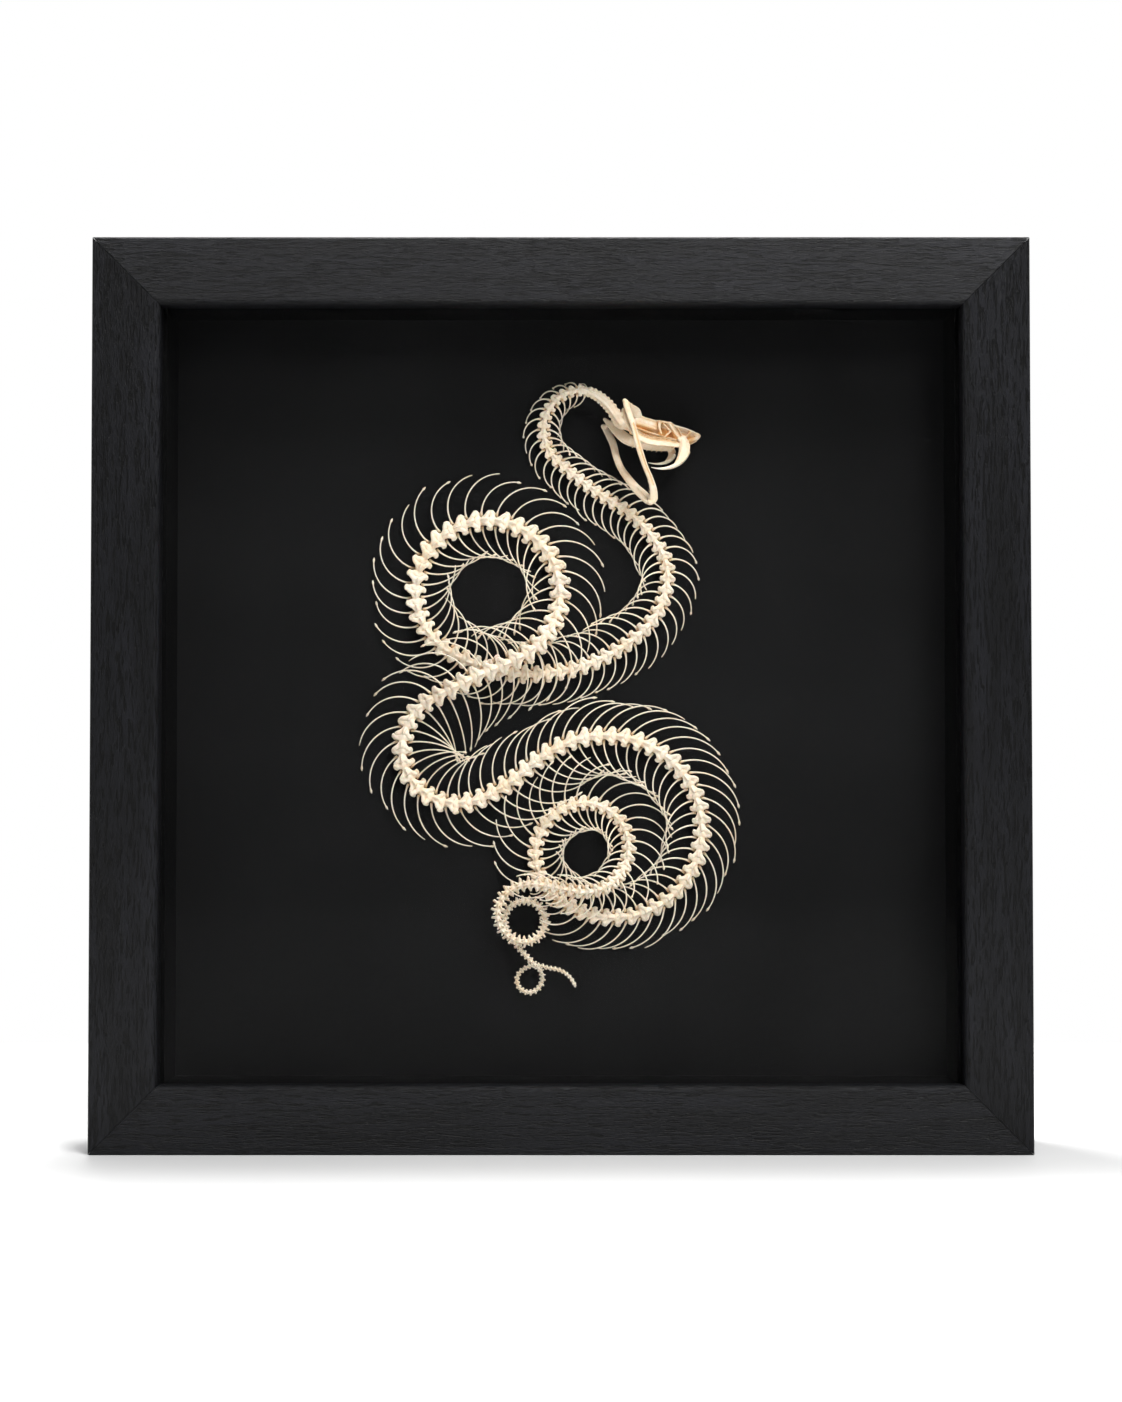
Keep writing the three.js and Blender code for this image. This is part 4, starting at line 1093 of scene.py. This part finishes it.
def bone_material():
    finish = Finish("dry_bone", Subsurface_Weight=0.12, Subsurface_Scale=0.002)
    tone = finish.node("ShaderNodeAttribute", attribute_name="tone").outputs["Fac"]
    stain = finish.cloud(70, -0.09, 0.07)
    mottle = finish.cloud(700, -0.08, 0.08, 4)
    tone = finish.math("ADD", finish.math("ADD", tone, stain), mottle)
    # the ramp's amber low end shows painted shade in hollows, at the ribs' heads and below the
    # braincase, as well as the colour of thin bone
    finish.set("Base Color", finish.ramp(
        tone, (0.0, (0.66, 0.30, 0.07)), (0.35, (0.66, 0.40, 0.18)), (0.62, (0.75, 0.52, 0.29)),
        (0.82, (0.82, 0.65, 0.45)), (0.97, (0.85, 0.74, 0.59))))
    finish.set("Roughness", finish.cloud(300, 0.38, 0.58))
    return finish.bump(finish.noise(1500, 5), 0.12).material


def tooth_material():
    finish = Finish("tooth", Roughness=0.28, Subsurface_Weight=0.1, Subsurface_Scale=0.001)
    tone = finish.node("ShaderNodeAttribute", attribute_name="tone").outputs["Fac"]
    tone = finish.math("ADD", tone, finish.cloud(900, -0.05, 0.05))
    finish.set("Base Color", finish.ramp(
        tone, (0.3, (0.55, 0.38, 0.2)), (0.7, (0.80, 0.70, 0.52)), (1.0, (0.88, 0.84, 0.74))))
    return finish.bump(finish.noise(1200), 0.03).material


def wood_material(name, stretch):
    """Black-stained open-grained wood. stretch is 1 across the grain and small along it."""
    def along(scale):
        return tuple(scale * part for part in stretch)

    finish = Finish(name, Specular_IOR_Level=0.21)
    pores = finish.spread(finish.noise(along(1300), 2), 0.53, 0.62)
    fibres = finish.spread(finish.noise(along(2400), 3, 0.7), 0.4, 0.66)
    figure = finish.spread(finish.noise(along(140), 4), 0.35, 0.65, 0.45, 0.8)
    shade = finish.math("ADD", figure, finish.math("MULTIPLY", fibres, 0.45))
    shade = finish.math("MULTIPLY", shade, finish.spread(pores, 0, 1, 0.8, 0.12))
    finish.set("Base Color", finish.ramp(
        shade, (0.0, (0.0003, 0.0003, 0.0004)), (0.45, (0.0018, 0.0019, 0.0023)),
        (1.0, (0.0098, 0.0102, 0.0132))))
    finish.set("Roughness", finish.spread(fibres, 0, 1, 0.42, 0.33))
    relief = finish.math("SUBTRACT", fibres, finish.math("MULTIPLY", pores, 2.0))
    return finish.bump(relief, 0.14, 0.9).material


def card_material(name, dark, light):
    finish = Finish(name, Specular_IOR_Level=0.05)
    shade = finish.math("ADD", finish.cloud(14, 0.2, 0.8), finish.cloud(1900, -0.2, 0.2, 2))
    finish.set("Base Color", finish.ramp(shade, (0.0, dark), (1.0, light)))
    finish.set("Roughness", finish.cloud(600, 0.82, 0.95))
    return finish.bump(finish.noise(2600, 3), 0.05, 0.5).material


def hardboard_material():
    finish = Finish("hardboard")
    fibre = finish.math("ADD", finish.noise((900, 900, 160), 5), finish.noise(400, 3))
    finish.set("Base Color", finish.ramp(
        finish.spread(fibre, 0.6, 1.4), (0.0, (0.085, 0.047, 0.024)), (0.5, (0.16, 0.092, 0.05)),
        (1.0, (0.24, 0.15, 0.088))))
    finish.set("Roughness", finish.cloud(200, 0.6, 0.85))
    return finish.bump(fibre, 0.08).material


def steel_material():
    finish = Finish("steel", Metallic=1.0)
    brushed = finish.noise((60, 1800, 1800), 3)
    finish.set("Base Color", finish.ramp(
        brushed, (0.3, (0.36, 0.36, 0.35)), (0.7, (0.55, 0.54, 0.52))))
    finish.set("Roughness", finish.spread(brushed, 0.3, 0.7, 0.28, 0.45))
    return finish.bump(brushed, 0.01).material


def glass_material():
    """Clear glass that shows only where it is a little dusty."""
    finish = Finish("clear_glass", Base_Color=(0.01, 0.011, 0.011, 1), Roughness=0.04)
    return finish.set("Alpha", finish.cloud(30, 0.02, 0.04, 4)).material


def floor_material():
    finish = Finish("pale_floor", Roughness=0.7)
    finish.set("Base Color", finish.ramp(
        finish.noise(3, 2), (0.3, (0.54, 0.54, 0.54)), (0.7, (0.57, 0.57, 0.57))))
    return finish.material


BONE, TOOTH = bone_material(), tooth_material()
GRAIN = 0.11  # the wood's pattern along the grain, per scale across it
WOOD_ACROSS = wood_material("black_wood_across", (GRAIN, 1, 1))
WOOD_UPRIGHT = wood_material("black_wood_upright", (1, 1, GRAIN))
BOARD = card_material("black_board", (0.0056, 0.0056, 0.0057), (0.0098, 0.0098, 0.0100))
LINER = card_material("black_liner", (0.0015, 0.0015, 0.0016), (0.004, 0.004, 0.0041))
HARDBOARD, STEEL, GLASS = hardboard_material(), steel_material(), glass_material()


# ---- the box ----


def arc(centre, radius, start, end, steps=5):
    """Points round a centre, from and to these angles in degrees."""
    angles = np.radians(np.linspace(start, end, steps + 1))
    return [(centre[0] + radius * math.cos(a), centre[1] + radius * math.sin(a)) for a in angles]


OUTER_ROUND, INNER_ROUND, LIP_ROUND, BACK_ROUND = 0.9, 2.6, 0.3, 0.4
RAIL_OUTLINE = [  # section of a rail: (distance in from the box's outer edge, depth)
    *arc((OUTER_ROUND, OUTER_ROUND), OUTER_ROUND, 180, 270),
    *arc((RAIL_WIDTH - INNER_ROUND, INNER_ROUND), INNER_ROUND, 270, 360, 7),
    *arc((RAIL_WIDTH - LIP_ROUND, LIP_DEPTH - LIP_ROUND), LIP_ROUND, 0, 90, 2),
    (REBATE_WIDTH, LIP_DEPTH), (REBATE_WIDTH, RAIL_DEPTH),
    *arc((BACK_ROUND, RAIL_DEPTH - BACK_ROUND), BACK_ROUND, 90, 180, 3),
]


SHARP_FROM = 30  # degrees between two faces with a sharp edge


def spun(x, y, angle):
    return x * math.cos(angle) - y * math.sin(angle), x * math.sin(angle) + y * math.cos(angle)


def make_rail(place, turn):
    """A mitred rail, made for the bottom of the box and turned into place."""
    upright = place in ("left", "right")
    length, across = (BOX_HEIGHT, BOX_WIDTH) if upright else (BOX_WIDTH, BOX_HEIGHT)
    count = len(RAIL_OUTLINE)
    outline = np.array(RAIL_OUTLINE)
    rings = []
    for side in (-1, 1):
        along = side * (length / 2 - outline[:, 0] - MITRE_GAP)
        rings.append(np.stack([
            along, outline[:, 1] - BOX_DEPTH / 2, outline[:, 0] - across / 2], 1))
    points = np.concatenate(rings)
    faces = []
    for i in range(count):
        j = (i + 1) % count
        faces += [(i, i + count, j + count), (i, j + count, j)]
    ends = np.array(tessellate_polygon([[(x, y, 0) for x, y in RAIL_OUTLINE]]))
    faces = np.concatenate([faces, ends, ends[:, ::-1] + count])
    x, z = spun(points[:, 0], points[:, 2], math.radians(turn))
    points = np.stack([x, points[:, 1], z + BOX_HEIGHT / 2], 1)
    shape = Shape()
    shape.add(points, outward(points, faces), 0.5)
    rail = shape.piece(f"rail_{place}_wood", WOOD_UPRIGHT if upright else WOOD_ACROSS, "frame_wood",
                       f"rail_{place}")
    rail.data.set_sharp_from_angle(angle=math.radians(SHARP_FROM))


def outward(points, faces):
    """The triangles, turned if they make a body that is inside out."""
    a, b, c = (points[faces[:, i]] for i in range(3))
    volume = np.einsum("ij,ij->i", a, np.cross(b, c)).sum()
    return faces if volume > 0 else faces[:, ::-1]


CROSS_ARM, CROSS_RADIUS, CROSS_RISE = 1.5, 0.55, 0.05  # the cross cut into a screw's head
SCREW_LOW, SCREW_HIGH, SCREW_CELL = (-3.6, -3.6, -0.4), (3.6, 3.6, 2.1), 0.2


def screw_form(at):
    """Half of a flattened ball with a cross cut into it."""
    head = np.maximum(ball(at, (0, 0, 0), (SCREW_RADIUS, SCREW_RADIUS, SCREW_HEIGHT)), -at[:, 2])
    top = SCREW_HEIGHT + CROSS_RISE
    arms = [rod(at, (-x, -y, top), (x, y, top), CROSS_RADIUS, CROSS_RADIUS)
            for x, y in ((CROSS_ARM, 0), (0, CROSS_ARM))]
    return carve(head, np.minimum(*arms), 0.15)


def make_screws():
    mould = Shape()
    solid(mould, screw_form, SCREW_LOW, SCREW_HIGH, SCREW_CELL)
    number = 0
    for column in (-1, 1):
        for row in (-1, 0, 1):
            number += 1
            x, y, out = mould.points[0].T
            x, y = spun(x, y, 2 * math.pi * scatter(number))
            placed = np.stack([
                x + column * (BOX_WIDTH - RAIL_WIDTH) / 2, SCREW_DEPTH - BOX_DEPTH / 2 + out,
                y + BOX_HEIGHT / 2 + row * (BOX_HEIGHT - RAIL_WIDTH) / 2], 1)
            shape = Shape()
            shape.add(placed, outward(placed, mould.faces[0]), 0.5)
            shape.piece(f"screw_{number}_head", STEEL, "steel", f"screw_{number}")


def finish_nodes():
    """The CAD nodes whose shape is already right get their materials."""
    finishes = {
        "backing_board": BOARD, "back_panel": HARDBOARD, "sawtooth_hanger": STEEL,
        "glass_pane": GLASS, "liner_bottom": LINER, "liner_top": LINER, "liner_left": LINER,
        "liner_right": LINER,
    }
    for name, material in finishes.items():
        for material_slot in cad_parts[name].material_slots:
            material_slot.material = material


# ---- the studio ----

FLOOR = [(-1.6, -1.6, 0), (1.6, -1.6, 0), (1.6, 0.35, 0), (-1.6, 0.35, 0)]
CAMERA_PLACE = (0, -0.981, 0.167)
CAMERA_TILT = 1.49  # degrees up
FOCAL_PIXELS, PHOTO_HEIGHT, SENSOR = 2254, 1402, 36
FRONT_LIGHT, BACK_LIGHT = 0.12, 1.0  # the room behind the camera, and behind the box
LAMPS = [  # (name, place, size in metres, watts)
    ("key", (0.3, -0.6, 1.4), 0.5, 21.5),
    ("sheen", (0.5, -1.1, 0.88), 0.3, 6.5),
    ("back", (-0.1, 0.22, 1.8), 0.35, 45),
]


def add_object(name, data):
    obj = bpy.data.objects.new(name, data)
    bpy.context.collection.objects.link(obj)
    return obj


def make_floor():
    mesh = bpy.data.meshes.new("floor")
    mesh.from_pydata(FLOOR, [], [(0, 1, 2, 3)])
    mesh.materials.append(floor_material())
    floor = add_object("floor", mesh)


def make_room():
    """White where the camera sees it; what it lights is brighter from behind the box."""
    world = bpy.data.worlds.new("studio")
    world.use_nodes = True
    nodes, links = world.node_tree.nodes, world.node_tree.links
    direction = nodes.new("ShaderNodeSeparateXYZ")
    links.new(nodes.new("ShaderNodeTexCoord").outputs["Generated"], direction.inputs[0])
    wall = nodes.new("ShaderNodeMapRange")
    for name, value in zip(RANGE, (-1, 1, FRONT_LIGHT, BACK_LIGHT)):
        wall.inputs[name].default_value = value
    links.new(direction.outputs["Y"], wall.inputs["Value"])
    seen = nodes.new("ShaderNodeMix")
    links.new(nodes.new("ShaderNodeLightPath").outputs["Is Camera Ray"], seen.inputs["Factor"])
    links.new(wall.outputs["Result"], seen.inputs["A"])
    seen.inputs["B"].default_value = 1.0
    links.new(seen.outputs["Result"], nodes["Background"].inputs["Strength"])
    nodes["Background"].inputs["Color"].default_value = (1, 1, 1, 1)
    bpy.context.scene.world = world


def make_lamps():
    for name, place, size, power in LAMPS:
        lamp = bpy.data.lights.new(name, "AREA")
        lamp.size = size
        lamp.energy = power
        obj = add_object(name, lamp)
        obj.location = place
        aim = Vector((0, 0, BOX_HEIGHT / 2 * MM)) - Vector(place)
        obj.rotation_euler = aim.to_track_quat("-Z", "Y").to_euler()


def make_camera():
    camera = bpy.data.cameras.new("camera")
    camera.sensor_fit = "VERTICAL"
    camera.sensor_height = SENSOR
    camera.lens = FOCAL_PIXELS / PHOTO_HEIGHT * SENSOR
    view = add_object("camera", camera)
    view.location = CAMERA_PLACE
    view.rotation_euler = (math.radians(90 + CAMERA_TILT), 0, 0)
    bpy.context.scene.camera = view
    bpy.context.scene.view_settings.view_transform = "Standard"
    bpy.context.scene.view_settings.look = "None"


make_backbone()
make_skull()
for place, turn in (("bottom", 0), ("right", 90), ("top", 180), ("left", 270)):
    make_rail(place, turn)
make_screws()
finish_nodes()
make_floor()
make_room()
make_lamps()
make_camera()
